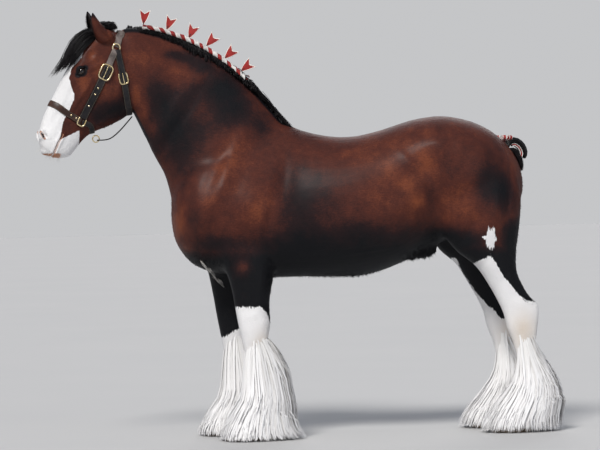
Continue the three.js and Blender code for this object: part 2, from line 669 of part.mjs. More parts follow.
function feathered(leg, index) {
  const rows = featherRows(leg);
  const core = rows.map(([ax, az, bx, bz, wide, widest, above, below, y]) => {
    const cx = ax + (bx - ax) * widest;
    const share = FEATHER_CORE;
    return [cx + (ax - cx) * share, az, cx + (bx - cx) * share, bz, wide * share, widest, above, below, y];
  });
  const random = draw(31 + index);
  const locks = FEATHER_TIERS.flatMap(({ from, to, count, spread, width }) => {
    return Array.from({ length: count }, (_, i) => {
      const angle = PI + spread * PI * (((i + 0.5) / count) * 2 - 1) + 0.12 * (random() - 0.5);
      const start = from + 0.03 * random();
      const end = min(to - 0.05 * random(), 1);
      const wide = width * (0.9 + 0.2 * random()) * (0.8 + 0.2 * abs(cos(angle / 2)));
      const lean = FEATHER_LEAN * (i % 2 ? 1 : -1);
      return featherLock(rows, angle, start, end, wide, 0.16 * (random() - 0.5), lean);
    });
  });
  return join(loft(core, 10, 5), locks);
}

function hoof(leg, grow) {
  const [ax, az, bx, bz, , , , , y] = leg.rows[leg.rows.length - 1];
  const sole = -grow;
  const rows = [
    [ax - 3, az - GAP + grow, bx + 3, bz - GAP + grow, 68, 0.48, 2.1, 2.1, y],
    [ax - HOOF_TOE * 0.5, az * 0.5, bx + 6, bz * 0.5, 82, 0.47, 2.1, 2.2, y],
    [ax - HOOF_TOE, sole, ax - HOOF_TOE + HOOF_LENGTH, sole, HOOF_WIDTH / 2, 0.46, 2.1, 2.3, y],
  ];
  return loft(rows, 16, 3, { grow });
}

for (const [index, leg] of LEGS.entries()) {
  const knee = leg.rows[leg.name.startsWith("fore") ? 7 : 8];
  const cut = { point: V(knee[0], 0, knee[1] + KNEE_RISE), normal: V(0, 0, 1) };
  const flesh = legForm(leg, 0);
  const top = { point: V(0, 0, leg.top), normal: V(0, 0, 1) };
  const upper = flesh.intersect(behind(top)).subtract(torsoForm(GROWN)).intersect(ahead(cut));
  const lower = join(flesh.intersect(behind(cut)), feathered(leg, index).intersect(behind(cut)));
  add(leg.name + "_upper", upper, "black");
  add(leg.name + "_lower", lower.subtract(hoof(leg, GROWN)), "white");
  add(leg.name.replace("leg", "hoof"), hoof(leg, 0), "horn");
}

// The tail is docked and dressed: short hair hangs from the dock, and the long hair is folded over it in a
// bun, with a ribbon along its underside and a bow ahead of it.
function dockHair(grow) {
  const random = draw(41);
  return Array.from({ length: DOCK_HAIR.count }, (_, i) => {
    const side = (2 * i) / (DOCK_HAIR.count - 1) - 1;
    const long = 0.85 + 0.15 * random();
    const path = curve(
      V(852, side * 20, 1590),
      V(906, side * 32, 1592 - 12 * abs(side)),
      V(940, side * 34, 1540 - 12 * abs(side)),
      V(948, side * 26, 1540 - 76 * long),
    );
    return lock(path, () => V(0.9, side * 0.5, 0.3), DOCK_HAIR.width, DOCK_HAIR.thick, { grow });
  });
}
// The folded hair: locks side by side that follow the fold, each a little apart in height
const foldPath = curve(...FOLD);
function bun(grow) {
  const random = draw(43);
  return Array.from({ length: BUN.locks }, (_, i) => {
    const side = (2 * i) / (BUN.locks - 1) - 1;
    const rise = 8 * random() - 12 * side * side;
    const path = (t) => foldPath(t).add(V(0, side * BUN.half * (1 - 0.35 * t), rise * sin(PI * t)));
    return lock(path, () => V(0, side * 0.4, 1), BUN.width, BUN.thick, { grow, steps: 5, blunt: true });
  });
}
// The ribbon under the fold, a strip along the inside of its curve
function tailBand(grow) {
  const strip = new THREE.BoxGeometry(1, 1, 1, 8, 1, 1);
  const p = strip.attributes.position;
  for (let i = 0; i < p.count; i += 1) {
    const t = BAND.from + (BAND.to - BAND.from) * (p.getX(i) + 0.5);
    const run = foldPath(t + 0.02).sub(foldPath(t - 0.02)).normalize();
    const out = V(-run.z, 0, run.x);
    const q = foldPath(t).addScaledVector(out, p.getZ(i) * (BAND.thick + 2 * grow) - BAND.drop);
    p.setXYZ(i, q.x, p.getY(i) * 2 * (BAND.half + grow), q.z);
  }
  return solid(strip);
}
const rump = join(whole, torsoForm(GROWN));
const tailClear = join(rump, tailBand(GROWN));
add("tail_band", tailBand(0).subtract(rump), "red");
add("tail_bun", join(bun(0)).subtract(tailClear), "black");
const dock = (grow) => join(loft(DOCK, 10, 6, { grow }), dockHair(grow));
add("tail_dock", dock(0).subtract(join(tailClear, bun(GROWN))), "black");

// A bow of three loops lies ahead of the bun.
function bow() {
  const loops = BOW_LOOPS.flatMap(([x, z]) =>
    [LEFT, RIGHT].map((side) => {
      const loop = new THREE.SphereGeometry(1, 7, 5).scale(15, 24, 13);
      return solid(loop.rotateX(side * 0.3).translate(x, side * 19, z));
    }),
  );
  return join(loops, ellipsoid(848, 0, 1674, 44, 12, 14, 8, 6));
}
add("tail_bow", bow().subtract(join(tailClear, bun(GROWN), dock(GROWN))), "red");

// The mane roll lies along the crest, with a red and a white ribbon twisted along it
function tubeAlong(path, radius, sides, steps) {
  const tube = new THREE.CylinderGeometry(1, 1, 1, sides, steps);
  return shaped(tube, sides, steps, (u, angle, share) => {
    const dir = path(min(u + 0.01, 1)).sub(path(max(u - 0.01, 0))).normalize();
    const flat = V(0, 1, 0).addScaledVector(dir, -dir.y).normalize();
    const up = dir.clone().cross(flat);
    const r = share * radius * (u === 0 || u === 1 ? 0.6 : 1);
    return path(u).addScaledVector(flat, r * cos(angle)).addScaledVector(up, r * sin(angle));
  });
}
const rollPath = (u) => {
  const q = CREST.getPoint(ROLL_SPAN[0] + (ROLL_SPAN[1] - ROLL_SPAN[0]) * u);
  return V(q.x, ROLL_SIDE, q.z + 4);
};
const ribbonPath = (phase) => (u) => {
  const a = u * RIBBON.twists * 2 * PI + phase;
  const q = rollPath(u);
  const run = rollPath(min(u + 0.01, 1)).sub(rollPath(max(u - 0.01, 0))).normalize();
  const up = run.cross(V(0, 1, 0)).normalize();
  const side = RIBBON.side + RIBBON.coil * cos(a);
  return q.addScaledVector(up, RIBBON.lift + RIBBON.coil * sin(a)).add(V(0, side, 0));
};
const hairGrown = join(mane(GROWN), maneEnd(GROWN));
const fleshClear = join(neckForm(CREST_CLEAR), torsoForm(CREST_CLEAR), headForm(CREST_CLEAR));
const crestCut = join(fleshClear, hairGrown, tufts);
const ribbons = { ribbon_red: 0, ribbon_white: PI };
const ribbonSolids = {};
for (const [name, phase] of Object.entries(ribbons)) {
  ribbonSolids[name] = tubeAlong(ribbonPath(phase), RIBBON.radius, 3, 44);
}
add("mane_roll", tubeAlong(rollPath, ROLL_RADIUS, 6, 12).subtract(crestCut), "black", true);
for (const [name, made] of Object.entries(ribbonSolids)) {
  const clear = join(crestCut, tubeAlong(rollPath, ROLL_RADIUS + GROWN, 6, 12));
  add(name, made.subtract(clear), name === "ribbon_red" ? "red" : "ribbon", true);
}

function flag(x, z, lean) {
  const right = FLAG_SIDE.map(([half, share]) => new THREE.Vector2(half, FLAG.stem + FLAG.long * share));
  const left = right.map((q) => new THREE.Vector2(-q.x, q.y)).reverse();
  const foot = new THREE.Vector2(0, FLAG.stem - 2);
  const notch = new THREE.Vector2(0, FLAG.stem + FLAG.long - FLAG.notch);
  const fan = new THREE.Shape([foot, ...right, notch, ...left]);
  const blade = new THREE.ExtrudeGeometry(fan, { depth: FLAG.thick, bevelEnabled: false });
  blade.translate(0, 0, -FLAG.thick / 2);
  const stem = new THREE.CylinderGeometry(FLAG.wire, FLAG.wire, FLAG.stem + 20, 8);
  stem.translate(0, FLAG.stem / 2, 0);
  return [blade, stem].map((g) => solid(g.rotateX(PI / 2).rotateY(lean).translate(x, ROLL_SIDE, z)));
}
const rollCut = join(
  crestCut,
  tubeAlong(rollPath, ROLL_RADIUS + GROWN, 6, 12),
  ...Object.values(ribbons).map((phase) => tubeAlong(ribbonPath(phase), RIBBON.radius + GROWN * 2, 3, 44)),
);
FLAG_PLACES.forEach(([x, z, lean], i) => {
  add("flag_" + (i + 1), join(flag(x, z, lean)).subtract(rollCut), "red", true);
});

// The halter follows the skin: each strap is cast onto the flesh from outside.
const fleshMesh = new THREE.Mesh(asGeometry(join(neckForm(0), headForm(0))));
fleshMesh.material.side = THREE.DoubleSide;
const caster = new THREE.Raycaster();
function cast(from, to) {
  caster.set(from, to.clone().sub(from).normalize());
  const [hit] = caster.intersectObject(fleshMesh);
  const out = from.clone().sub(to).normalize();
  return { point: hit ? hit.point.clone() : to.clone(), out };
}

// A strap through waypoints, each a pair: a point outside the head and one inside it
function strap(way, width, steps, grow, lift = STRAP.lift) {
  const outer = new THREE.CatmullRomCurve3(way.map(([from]) => from));
  const inner = new THREE.CatmullRomCurve3(way.map(([, to]) => to));
  const line = [];
  for (let i = 0; i <= steps; i += 1) {
    const { point, out } = cast(outer.getPoint(i / steps), inner.getPoint(i / steps));
    line.push({ point: point.addScaledVector(out, lift), out });
  }
  return band(line, width + 2 * grow, steps, STRAP.thick + 2 * grow);
}

function band(line, width, steps, thick = STRAP.thick) {
  const box = new THREE.BoxGeometry(1, 1, 1, steps, 1, 1);
  const p = box.attributes.position;
  for (let i = 0; i < p.count; i += 1) {
    const k = round((p.getX(i) + 0.5) * steps);
    const before = line[max(k - 1, 0)].point;
    const after = line[min(k + 1, steps)].point;
    const run = after.clone().sub(before).normalize();
    const across = run.clone().cross(line[k].out).normalize();
    const out = across.clone().cross(run);
    const q = line[k].point
      .clone()
      .addScaledVector(across, p.getY(i) * width)
      .addScaledVector(out, p.getZ(i) * thick);
    p.setXYZ(i, q.x, q.y, q.z);
  }
  return solid(box);
}

const sideOf = (x, z, side) => [V(x, side * 260, z), V(x, 0, z)];
function mirrored(way) {
  const far = way.slice(0, -1).map((pair) => pair.map((q) => V(q.x, -q.y, q.z)));
  return [...way, ...far.reverse()];
}

const crownWay = mirrored([
  sideOf(-1378, 2245, LEFT),
  sideOf(-1362, 2285, LEFT),
  [V(-1350, -150, 2450), V(-1350, 0, 2250)],
  [V(-1345, 0, 2500), V(-1345, 0, 2200)],
]);
const nosebandWay = mirrored([
  sideOf(-1614, 1822, LEFT),
  sideOf(-1672, 1860, LEFT),
  [V(-1800, -160, 1945), V(-1690, 0, 1880)],
  [V(-1920, 0, 2010), V(-1700, 0, 1885)],
]);
const throatWay = mirrored([
  sideOf(-1384, 2198, LEFT),
  sideOf(-1362, 2100, LEFT),
  sideOf(-1340, 1985, LEFT),
  sideOf(-1322, 1890, LEFT),
  [V(-1290, -140, 1700), V(-1320, 0, 1930)],
  [V(-1280, 0, 1600), V(-1320, 0, 1930)],
]);
const JAW_CORE = V(-1536, 0, 1812);
const chinWay = mirrored([
  sideOf(-1574, 1800, LEFT),
  [V(-1530, -230, 1740), V(-1550, 0, 1808)],
  [V(-1512, -150, 1650), JAW_CORE],
  [V(-1495, -60, 1600), JAW_CORE],
  [V(-1490, 0, 1590), JAW_CORE],
]);

function ringAt({ x, z, radius, wire, out, stretch }, side) {
  const { point } = cast(...sideOf(x, z, side));
  return (grow) => {
    const wireGrown = new THREE.TorusGeometry(radius, wire + grow, 4, 9).scale(1, stretch, 1);
    wireGrown.rotateX(PI / 2).rotateY(0.4).rotateZ(side * 0.12);
    return solid(wireGrown.translate(x, point.y + side * out, z));
  };
}

const lidsGrown = [LEFT, RIGHT].map((side) => eyeball(side, EYE.radius + LID + GROWN));
const skinCut = join(grownTrunk, lidsGrown, tufts);
const metal = [];
for (const [name, side] of Object.entries(SIDES)) {
  for (const [fitting, sizes] of Object.entries(FITTINGS)) metal.push([fitting + name, ringAt(sizes, side)]);
}
const chinRing = (grow) => {
  const ring = new THREE.TorusGeometry(CHIN_RING.radius, CHIN_RING.wire + grow, 4, 9);
  ring.rotateX(PI / 2).rotateY(0.5);
  return solid(ring.translate(CHIN_RING.x, 0, CHIN_RING.z));
};
metal.push(["ring_chin", chinRing]);
const metalCut = join(metal.map(([, make]) => make(GROWN)));
for (const [name, make] of metal) add(name, make(0).subtract(skinCut), "brass", true);

const straps = [];
function addStrap(name, made) {
  const clear = join(skinCut, metalCut, crestCut, straps.map((s) => s.grown));
  add(name, made(0).subtract(clear), "leather", true);
  straps.push({ grown: made(1) });
}
const strapOf = (way, width, steps, lift) => (grow) => strap(way, width, steps, grow, lift);
addStrap("halter_crown", strapOf(crownWay, STRAP.crown, 14));
addStrap("halter_noseband", strapOf(nosebandWay, STRAP.nose, 14));
addStrap("halter_throat", strapOf(throatWay, STRAP.throat, 14, STRAP.throatLift));
addStrap("halter_chin", strapOf(chinWay, STRAP.chin, 14));
for (const [name, side] of Object.entries(SIDES)) {
  const cheekWay = [
    sideOf(-1402, 2195, side),
    sideOf(-1455, 2085, side),
    sideOf(-1520, 1955, side),
    sideOf(-1580, 1836, side),
  ];
  addStrap("halter_cheek_" + name, strapOf(cheekWay, STRAP.cheek, 8));
}
const jawLine = [
  { point: V(-1490, 0, 1702), out: V(0, 1, 0) },
  { point: V(-1425, 0, 1712), out: V(0, 1, 0) },
  { point: V(-1365, 0, 1755), out: V(0, 1, 0) },
  { point: V(-1290, 0, 1836), out: V(0, 1, 0) },
];
addStrap("halter_jaw", (grow) => band(jawLine, STRAP.jaw + grow, 3, STRAP.jaw + grow));

// The neck bends to the horse's left from its base to the throat, and the head turns with it.
// neckPlace finds the neck section, from 0 at the poll to 1 at the withers, that a point lies on.
function neckPlace(x, z) {
  let near = 0;
  let far = 1;
  for (let i = 0; i < 18; i += 1) {
    const u = (near + far) / 2;
    const [ax, az, bx, bz] = along(NECK, u);
    if ((bx - ax) * (z - az) > (bz - az) * (x - ax)) near = u;
    else far = u;
  }
  return (near + far) / 2;
}
function turnAngle(u) {
  const share = min(max((TURN_FROM - u) / (TURN_FROM - TURN_TO), 0), 1);
  return HEAD_TURN * share * share * (3 - 2 * share);
}
const sectionMiddle = (u) => {
  const [ax, az, bx, bz] = along(NECK, u);
  return V((ax + bx) / 2, 0, (az + bz) / 2);
};
const turnedBy = (v, angle) => v.clone().applyAxisAngle(V(0, 0, 1), angle);
const BEND_STEPS = 200;
const bendLine = [sectionMiddle(1)];
for (let i = 1; i <= BEND_STEPS; i += 1) {
  const u = 1 - i / BEND_STEPS;
  const step = sectionMiddle(u).sub(sectionMiddle(u + 1 / BEND_STEPS));
  bendLine.push(bendLine[i - 1].clone().add(turnedBy(step, turnAngle(u + 0.5 / BEND_STEPS))));
}
function turned(geometry) {
  const p = geometry.attributes.position;
  for (let i = 0; i < p.count; i += 1) {
    const u = neckPlace(p.getX(i), p.getZ(i));
    const place = (1 - u) * BEND_STEPS;
    const k = min(Math.floor(place), BEND_STEPS - 1);
    const from = V(p.getX(i), p.getY(i), p.getZ(i)).sub(sectionMiddle(u));
    const q = bendLine[k].clone().lerp(bendLine[k + 1], place - k).add(turnedBy(from, turnAngle(u)));
    p.setXYZ(i, q.x, q.y, q.z);
  }
  return geometry;
}

const horse = new THREE.Group();
for (const [name, { made, material, turns }] of nodes) {
  const geometry = asGeometry(made);
  const mesh = new THREE.Mesh(
    turns ? turned(geometry) : geometry,
    new THREE.MeshStandardMaterial(MATERIALS[material]),
  );
  mesh.name = name;
  horse.add(mesh);
}
const box = new THREE.Box3().setFromObject(horse);
const middle = box.getCenter(V(0, 0, 0));
horse.position.set(-middle.x, -middle.y, 0);

export default horse;
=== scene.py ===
"""A life-size Clydesdale stallion in show trim: one skin with its bay and white coat, feather, mane,
forelock and dressed tail, eyes and hooves, a leather halter with brass buckles, ribbons and flags."""

import math

import bmesh
import bpy
import numpy as np
from mathutils import Matrix, Quaternion, Vector
from mathutils.bvhtree import BVHTree


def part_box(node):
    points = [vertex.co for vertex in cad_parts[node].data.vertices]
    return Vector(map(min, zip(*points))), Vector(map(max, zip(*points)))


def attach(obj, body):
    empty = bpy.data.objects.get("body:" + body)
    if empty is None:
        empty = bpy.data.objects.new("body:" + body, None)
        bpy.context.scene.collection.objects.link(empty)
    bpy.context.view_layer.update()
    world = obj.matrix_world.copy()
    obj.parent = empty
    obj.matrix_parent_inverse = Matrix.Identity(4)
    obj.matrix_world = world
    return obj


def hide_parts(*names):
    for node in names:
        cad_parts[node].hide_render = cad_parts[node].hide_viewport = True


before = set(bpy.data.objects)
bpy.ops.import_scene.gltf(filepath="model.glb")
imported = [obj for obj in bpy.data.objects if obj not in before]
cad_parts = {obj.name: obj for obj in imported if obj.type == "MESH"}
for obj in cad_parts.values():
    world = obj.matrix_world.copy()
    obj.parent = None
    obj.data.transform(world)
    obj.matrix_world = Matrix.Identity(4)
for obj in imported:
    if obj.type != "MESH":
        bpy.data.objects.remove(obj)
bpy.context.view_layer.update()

# Forms are worked out in millimetres on a straight animal: +X to the tail, +Y to its right side.
# settle() bends the neck to the left, moves a form into the frame and turns it into metres.
MM = 0.001
LEFT, RIGHT = -1, 1
SIDES = {"left": LEFT, "right": RIGHT}
TURN = 2 * math.pi

# Driving sizes
COAT = -3.0  # the skin lies this far inside the outline of the coat
HEAD_TURN = math.radians(8)
TURN_FROM = 0.72  # section of the neck, from 0 at the poll, where the turn begins
TURN_TO = 0.14
FORE_STAGGER = -85  # the right forefoot stands this far ahead of the left one
HIND_STAGGER = -60
HOOF_TOE = 66
HOOF_LENGTH = 225
HOOF_WIDTH = 196
BODY_MESH = 13.5  # spacing of the skin's mesh on the body
HEAD_MESH = 5.9  # and on the head
HEAD_JOIN = -1215  # the finer mesh of the head starts ahead of this x

# Each row is one section of a form, seen from the side:
# (upper or front x, z, lower or rear x, z, half width, place of the widest line, squareness above, below, y)
TORSO = np.array([
    (-1072, 1335, -1072, 1215, 70, 0.5, 2.0, 2.0, 0),
    (-1052, 1480, -1052, 1115, 160, 0.5, 2.0, 2.1, 0),
    (-995, 1585, -995, 1025, 222, 0.5, 2.0, 2.2, 0),
    (-915, 1650, -915, 965, 262, 0.5, 1.9, 2.3, 0),
    (-775, 1715, -775, 925, 288, 0.53, 1.7, 2.3, 0),
    (-600, 1768, -600, 908, 292, 0.55, 1.5, 2.2, 0),
    (-445, 1788, -445, 903, 300, 0.57, 1.5, 2.1, 0),
    (-320, 1740, -320, 903, 316, 0.57, 1.65, 2.0, 0),
    (-170, 1705, -170, 900, 335, 0.56, 1.9, 2.0, 0),
    (-30, 1700, -30, 900, 345, 0.55, 2.1, 2.0, 0),
    (115, 1728, 115, 925, 345, 0.54, 2.2, 2.0, 0),
    (230, 1763, 230, 968, 335, 0.5, 2.3, 2.0, 0),
    (330, 1790, 330, 1022, 325, 0.47, 2.4, 1.9, 0),
    (460, 1806, 460, 1075, 325, 0.45, 2.5, 1.8, 0),
    (575, 1792, 575, 1120, 318, 0.45, 2.4, 1.8, 0),
    (690, 1755, 690, 1160, 296, 0.45, 2.3, 1.9, 0),
    (785, 1698, 785, 1195, 258, 0.47, 2.2, 2.0, 0),
    (865, 1620, 865, 1235, 200, 0.5, 2.1, 2.0, 0),
    (915, 1535, 915, 1290, 130, 0.5, 2.0, 2.0, 0),
    (938, 1450, 938, 1350, 50, 0.5, 2.0, 2.0, 0),
])
NECK = np.array([
    (-1400, 2290, -1320, 1930, 62, 0.5, 2.0, 1.9, 0),
    (-1305, 2338, -1262, 1815, 92, 0.5, 1.8, 1.9, 0),
    (-1145, 2315, -1212, 1705, 100, 0.5, 1.7, 1.9, 0),
    (-985, 2260, -1162, 1600, 110, 0.52, 1.6, 2.0, 0),
    (-850, 2192, -1112, 1505, 124, 0.55, 1.6, 2.0, 0),
    (-710, 2088, -1085, 1412, 148, 0.57, 1.6, 2.1, 0),
    (-580, 1962, -1058, 1300, 180, 0.58, 1.6, 2.1, 0),
    (-445, 1800, -975, 1150, 215, 0.58, 1.6, 2.1, 0),
    (-345, 1655, -775, 1050, 215, 0.58, 1.8, 2.0, 0),
])
HEAD = np.array([
    (-1365, 2315, -1260, 1912, 76, 0.45, 2.0, 2.0, 0),
    (-1420, 2338, -1292, 1862, 92, 0.45, 2.1, 2.0, 0),
    (-1490, 2320, -1338, 1825, 103, 0.42, 2.3, 1.8, 0),
    (-1548, 2275, -1394, 1796, 110, 0.36, 2.6, 1.7, 0),
    (-1598, 2208, -1445, 1775, 110, 0.32, 2.9, 1.6, 0),
    (-1640, 2140, -1487, 1760, 98, 0.34, 2.8, 1.6, 0),
    (-1680, 2072, -1520, 1745, 84, 0.38, 2.5, 1.7, 0),
    (-1718, 2003, -1546, 1730, 70, 0.42, 2.3, 1.8, 0),
    (-1754, 1937, -1572, 1708, 60, 0.45, 2.2, 1.9, 0),
    (-1788, 1870, -1598, 1680, 60, 0.47, 2.2, 2.0, 0),
    (-1813, 1808, -1622, 1650, 67, 0.42, 2.2, 2.1, 0),
    (-1828, 1748, -1658, 1616, 69, 0.4, 2.2, 2.2, 0),
    (-1824, 1692, -1716, 1608, 58, 0.45, 2.2, 2.2, 0),
    (-1806, 1648, -1752, 1618, 30, 0.5, 2.1, 2.1, 0),
])
FORELEG = np.array([
    (-930, 1440, -560, 1470, 70, 0.5, 2.0, 2.0, 120),
    (-915, 1270, -525, 1290, 108, 0.5, 2.0, 2.0, 150),
    (-868, 1095, -505, 1100, 112, 0.5, 2.1, 2.0, 165),
    (-792, 950, -520, 925, 94, 0.5, 2.2, 2.0, 174),
    (-762, 850, -535, 830, 78, 0.48, 2.2, 2.0, 182),
    (-745, 750, -545, 745, 64, 0.48, 2.2, 2.2, 187),
    (-732, 672, -545, 655, 63, 0.48, 2.5, 2.4, 190),
    (-715, 580, -556, 570, 58, 0.48, 2.4, 2.2, 192),
    (-697, 485, -578, 480, 44, 0.45, 2.2, 2.0, 194),
    (-692, 370, -583, 365, 40, 0.45, 2.2, 2.0, 196),
    (-700, 280, -566, 275, 46, 0.48, 2.2, 2.0, 198),
    (-712, 215, -548, 205, 55, 0.5, 2.2, 2.1, 199),
    (-732, 155, -582, 140, 52, 0.48, 2.2, 2.1, 200),
    (-752, 100, -602, 78, 64, 0.48, 2.1, 2.1, 200),
])
HINDLEG = np.array([
    (345, 1480, 880, 1500, 105, 0.5, 2.0, 2.0, 160),
    (385, 1330, 905, 1345, 146, 0.5, 2.1, 2.1, 168),
    (430, 1168, 895, 1180, 136, 0.5, 2.1, 2.1, 172),
    (520, 1038, 872, 1030, 108, 0.46, 2.1, 2.0, 176),
    (628, 950, 872, 915, 84, 0.42, 2.1, 1.9, 177),
    (694, 855, 902, 835, 66, 0.4, 2.1, 1.8, 176),
    (745, 762, 948, 760, 56, 0.38, 2.1, 1.8, 174),
    (786, 672, 996, 705, 54, 0.4, 2.3, 1.9, 172),
    (805, 590, 988, 595, 52, 0.42, 2.4, 2.0, 172),
    (836, 505, 975, 500, 43, 0.42, 2.2, 2.0, 172),
    (856, 415, 970, 410, 38, 0.45, 2.2, 2.0, 174),
    (860, 315, 975, 310, 40, 0.45, 2.2, 2.0, 176),
    (845, 225, 990, 212, 52, 0.48, 2.2, 2.1, 178),
    (805, 155, 948, 138, 50, 0.48, 2.2, 2.1, 180),
    (772, 100, 918, 76, 64, 0.48, 2.1, 2.1, 180),
])
# The outline of a leg's feather: (height, reach from the leg's middle to the front, each side, the rear)
FORE_FEATHER = [
    (600, 68, 62, 84), (530, 68, 64, 140), (430, 78, 76, 175), (290, 90, 98, 197),
    (200, 104, 124, 220), (110, 124, 150, 262), (40, 146, 172, 310), (4, 156, 182, 342),
]
HIND_FEATHER = [
    (560, 62, 58, 84), (485, 56, 54, 88), (400, 62, 60, 108), (325, 76, 74, 148),
    (255, 105, 96, 185), (170, 136, 126, 232), (80, 165, 152, 268), (4, 192, 166, 292),
]
# Big muscles that push the trunk out or in: (x, z, reach along x, reach along z, push)
MUSCLES = [
    (-700, 1500, 190, 230, 14), (-930, 1290, 110, 150, 16), (-600, 1240, 150, 170, 16),
    (-415, 1340, 75, 260, -12), (370, 1660, 90, 70, 12), (385, 1350, 90, 150, -24),
    (640, 1360, 210, 240, 16),
]
# Softer relief on the finished skin: (x, z, reach along, reach across, slope in degrees, push)
BODY_RELIEF = [
    (-760, 1560, 190, 34, 62, 9), (-850, 1500, 170, 34, 62, -6), (-700, 1470, 170, 34, 62, -4),
    (-640, 1330, 120, 60, 60, 9), (-800, 1420, 90, 26, 62, 6), (-545, 1240, 150, 22, 78, -11),
    (-880, 1180, 90, 30, 70, -7), (-470, 1420, 180, 30, 80, -7), (-940, 1250, 26, 110, 0, 6),
    (-760, 1120, 70, 34, 80, 7), (-700, 1010, 60, 26, 75, -6), (-700, 960, 60, 40, 80, 6),
    (330, 1500, 60, 40, 20, -9), (300, 1480, 150, 18, -52, 7), (400, 1290, 90, 20, -60, -8),
    (470, 1230, 90, 60, 60, 8), (560, 1120, 120, 24, 55, -8), (820, 1330, 190, 20, 82, -9),
    (740, 1300, 170, 34, 80, 7), (600, 1600, 150, 60, -12, 7), (420, 1640, 60, 40, -60, 6),
    (480, 1500, 140, 22, 84, -6), (640, 1520, 120, 60, 60, 5), (690, 980, 110, 20, 58, -6),
    (-60, 1300, 300, 160, 0, 5), (-60, 1080, 260, 10, 4, 3), (40, 1050, 180, 7, 8, 3),
    (-1000, 1840, 260, 26, 57, -9), (-960, 1960, 240, 60, 50, 8), (-1130, 1760, 220, 26, 62, 6),
    (-1200, 1960, 120, 60, 50, 5), (-1090, 2010, 60, 160, 0, -4), (-820, 2060, 130, 30, 140, 5),
    (-640, 700, 26, 22, 0, 5), (-690, 620, 30, 14, 0, 4), (-575, 655, 24, 34, 80, 6),
    (-640, 800, 80, 10, 84, -4), (-600, 870, 90, 14, 80, 4), (800, 900, 90, 14, 70, -4),
    (880, 730, 30, 40, 80, 5), (900, 640, 26, 12, 0, -3), (620, 1060, 110, 40, 60, 5),
]
# Relief of the head, in the same form
HEAD_RELIEF = [
    (-1598, 1948, 92, 12, 58, 9), (-1640, 1990, 80, 18, 58, -6), (-1562, 1880, 70, 24, 52, -8),
    (-1432, 1945, 70, 84, 0, 8), (-1535, 2182, 26, 18, 40, -11), (-1500, 2122, 62, 12, 25, 6),
    (-1350, 1985, 16, 100, 0, -6), (-1736, 1842, 44, 18, 60, -6), (-1480, 1800, 60, 16, 20, 5),
    (-1700, 1915, 60, 14, 60, 5), (-1470, 2040, 40, 30, 0, -4), (-1730, 1700, 26, 20, 40, 5),
    (-1640, 1830, 50, 6, 50, 3), (-1612, 1800, 46, 5, 60, 3), (-1560, 1990, 60, 5, 70, 2.5),
    (-1400, 2060, 14, 60, 0, -5), (-1780, 1790, 18, 30, 0, -4),
]

EYE = (-1590, 80, 2092)
EYE_RADIUS = 26
EYE_TILT = math.radians(44)  # the eye's long axis rises towards the ears
EYE_HALF = 26  # half the length of the opening
UPPER_LID, LOWER_LID = 17.5, 13.0
LID_THICK = 4.5
NOSTRIL = (-1812, 42, 1740)
NOSTRIL_TILT = math.radians(-24)
MOUTH_LINE = [(-1772, 1590), (-1752, 1636), (-1730, 1690), (-1700, 1740)]
EAR_ROOT = (-1462, 62, 2268)
EAR_LEAN = {LEFT: (0.46, 0.4), RIGHT: (0.12, 0.34)}  # outward and forward, in radians
EAR_TURN = 0.55  # how far the opening faces outward
# Sections of an ear: (height, half width, depth, how far forward)
EAR = [(0, 36, 40, 14), (40, 41, 34, 8), (90, 36, 24, 1), (135, 25, 15, -1), (165, 12, 8, 2), (178, 3, 3, 5)]
EAR_LENGTH = EAR[-1][0]
CREST = np.array([
    (-1330, 0, 2342), (-1145, 0, 2318), (-985, 0, 2263), (-850, 0, 2195),
    (-710, 0, 2091), (-580, 0, 1964), (-445, 0, 1800),
])
ROLL_SPAN = (0.1, 0.76)  # where the roll of plaited mane begins and ends on the crest
ROLL_SIDE = -30  # it lies on the left of the crest
FLAG_PLACES = [  # foot x and z, and lean to the rear
    (-1234, 2352, 0.15), (-1104, 2320, 0.43), (-978, 2272, 0.46),
    (-880, 2228, 0.76), (-778, 2157, 0.83), (-688, 2084, 0.95),
]
FOLD = np.array([  # the line that the folded tail hair follows
    (846, 0, 1600), (868, 0, 1644), (908, 0, 1652), (944, 0, 1626), (962, 0, 1584), (956, 0, 1548),
])


# Forms
def along(rows, u):
    """Rows of numbers joined smoothly: u runs from 0 at the first row to 1 at the last."""
    rows = np.asarray(rows, float)
    last = len(rows) - 1
    place = np.clip(u, 0, 1) * last
    i = np.minimum(np.floor(place).astype(int), last - 1)
    f = (place - i)[..., None]
    a, b, c, d = (rows[np.clip(i + k, 0, last)] for k in (-1, 0, 1, 2))
    return b + 0.5 * f * ((c - a) + f * ((2 * a - 5 * b + 4 * c - d) + f * (3 * (b - c) + d - a)))


def power(value, n):
    return np.sign(value) * np.abs(value) ** n


def unit(v):
    return v / np.maximum(np.linalg.norm(v, axis=-1, keepdims=True), 1e-9)


def vectors(x, y, z):
    """Points or ways from their three parts, each of them a number or an array."""
    return np.stack(np.broadcast_arrays(x, y, z), -1)


def bell(value, middle, reach):
    """1 at the middle, falling softly to 0 past the reach."""
    return np.exp(-(((value - middle) / reach) ** 2))


def swell(x, z, cx, cz, rx, rz):
    """The same in two directions."""
    return np.exp(-(((x - cx) / rx) ** 2) - ((z - cz) / rz) ** 2)


def on_section(row, angle, share=1.0, grow=0.0):
    """Points of sections at an angle: 0 is the upper or front end, a quarter turn the right side."""
    ax, az, bx, bz, wide, widest, above, below, y = np.moveaxis(row, -1, 0)
    long = np.hypot(ax - bx, az - bz)
    front = np.cos(angle) > 0
    reach = np.where(front, widest, 1 - widest) * long + grow
    square = np.where(front, above, below)
    step = share * reach * power(np.cos(angle), 2 / square) / long
    across = share * (wide + grow) * power(np.sin(angle), 2 / square)
    cx = ax + (bx - ax) * widest
    cz = az + (bz - az) * widest
    return np.stack([cx + (ax - bx) * step, y + across, cz + (az - bz) * step], -1)


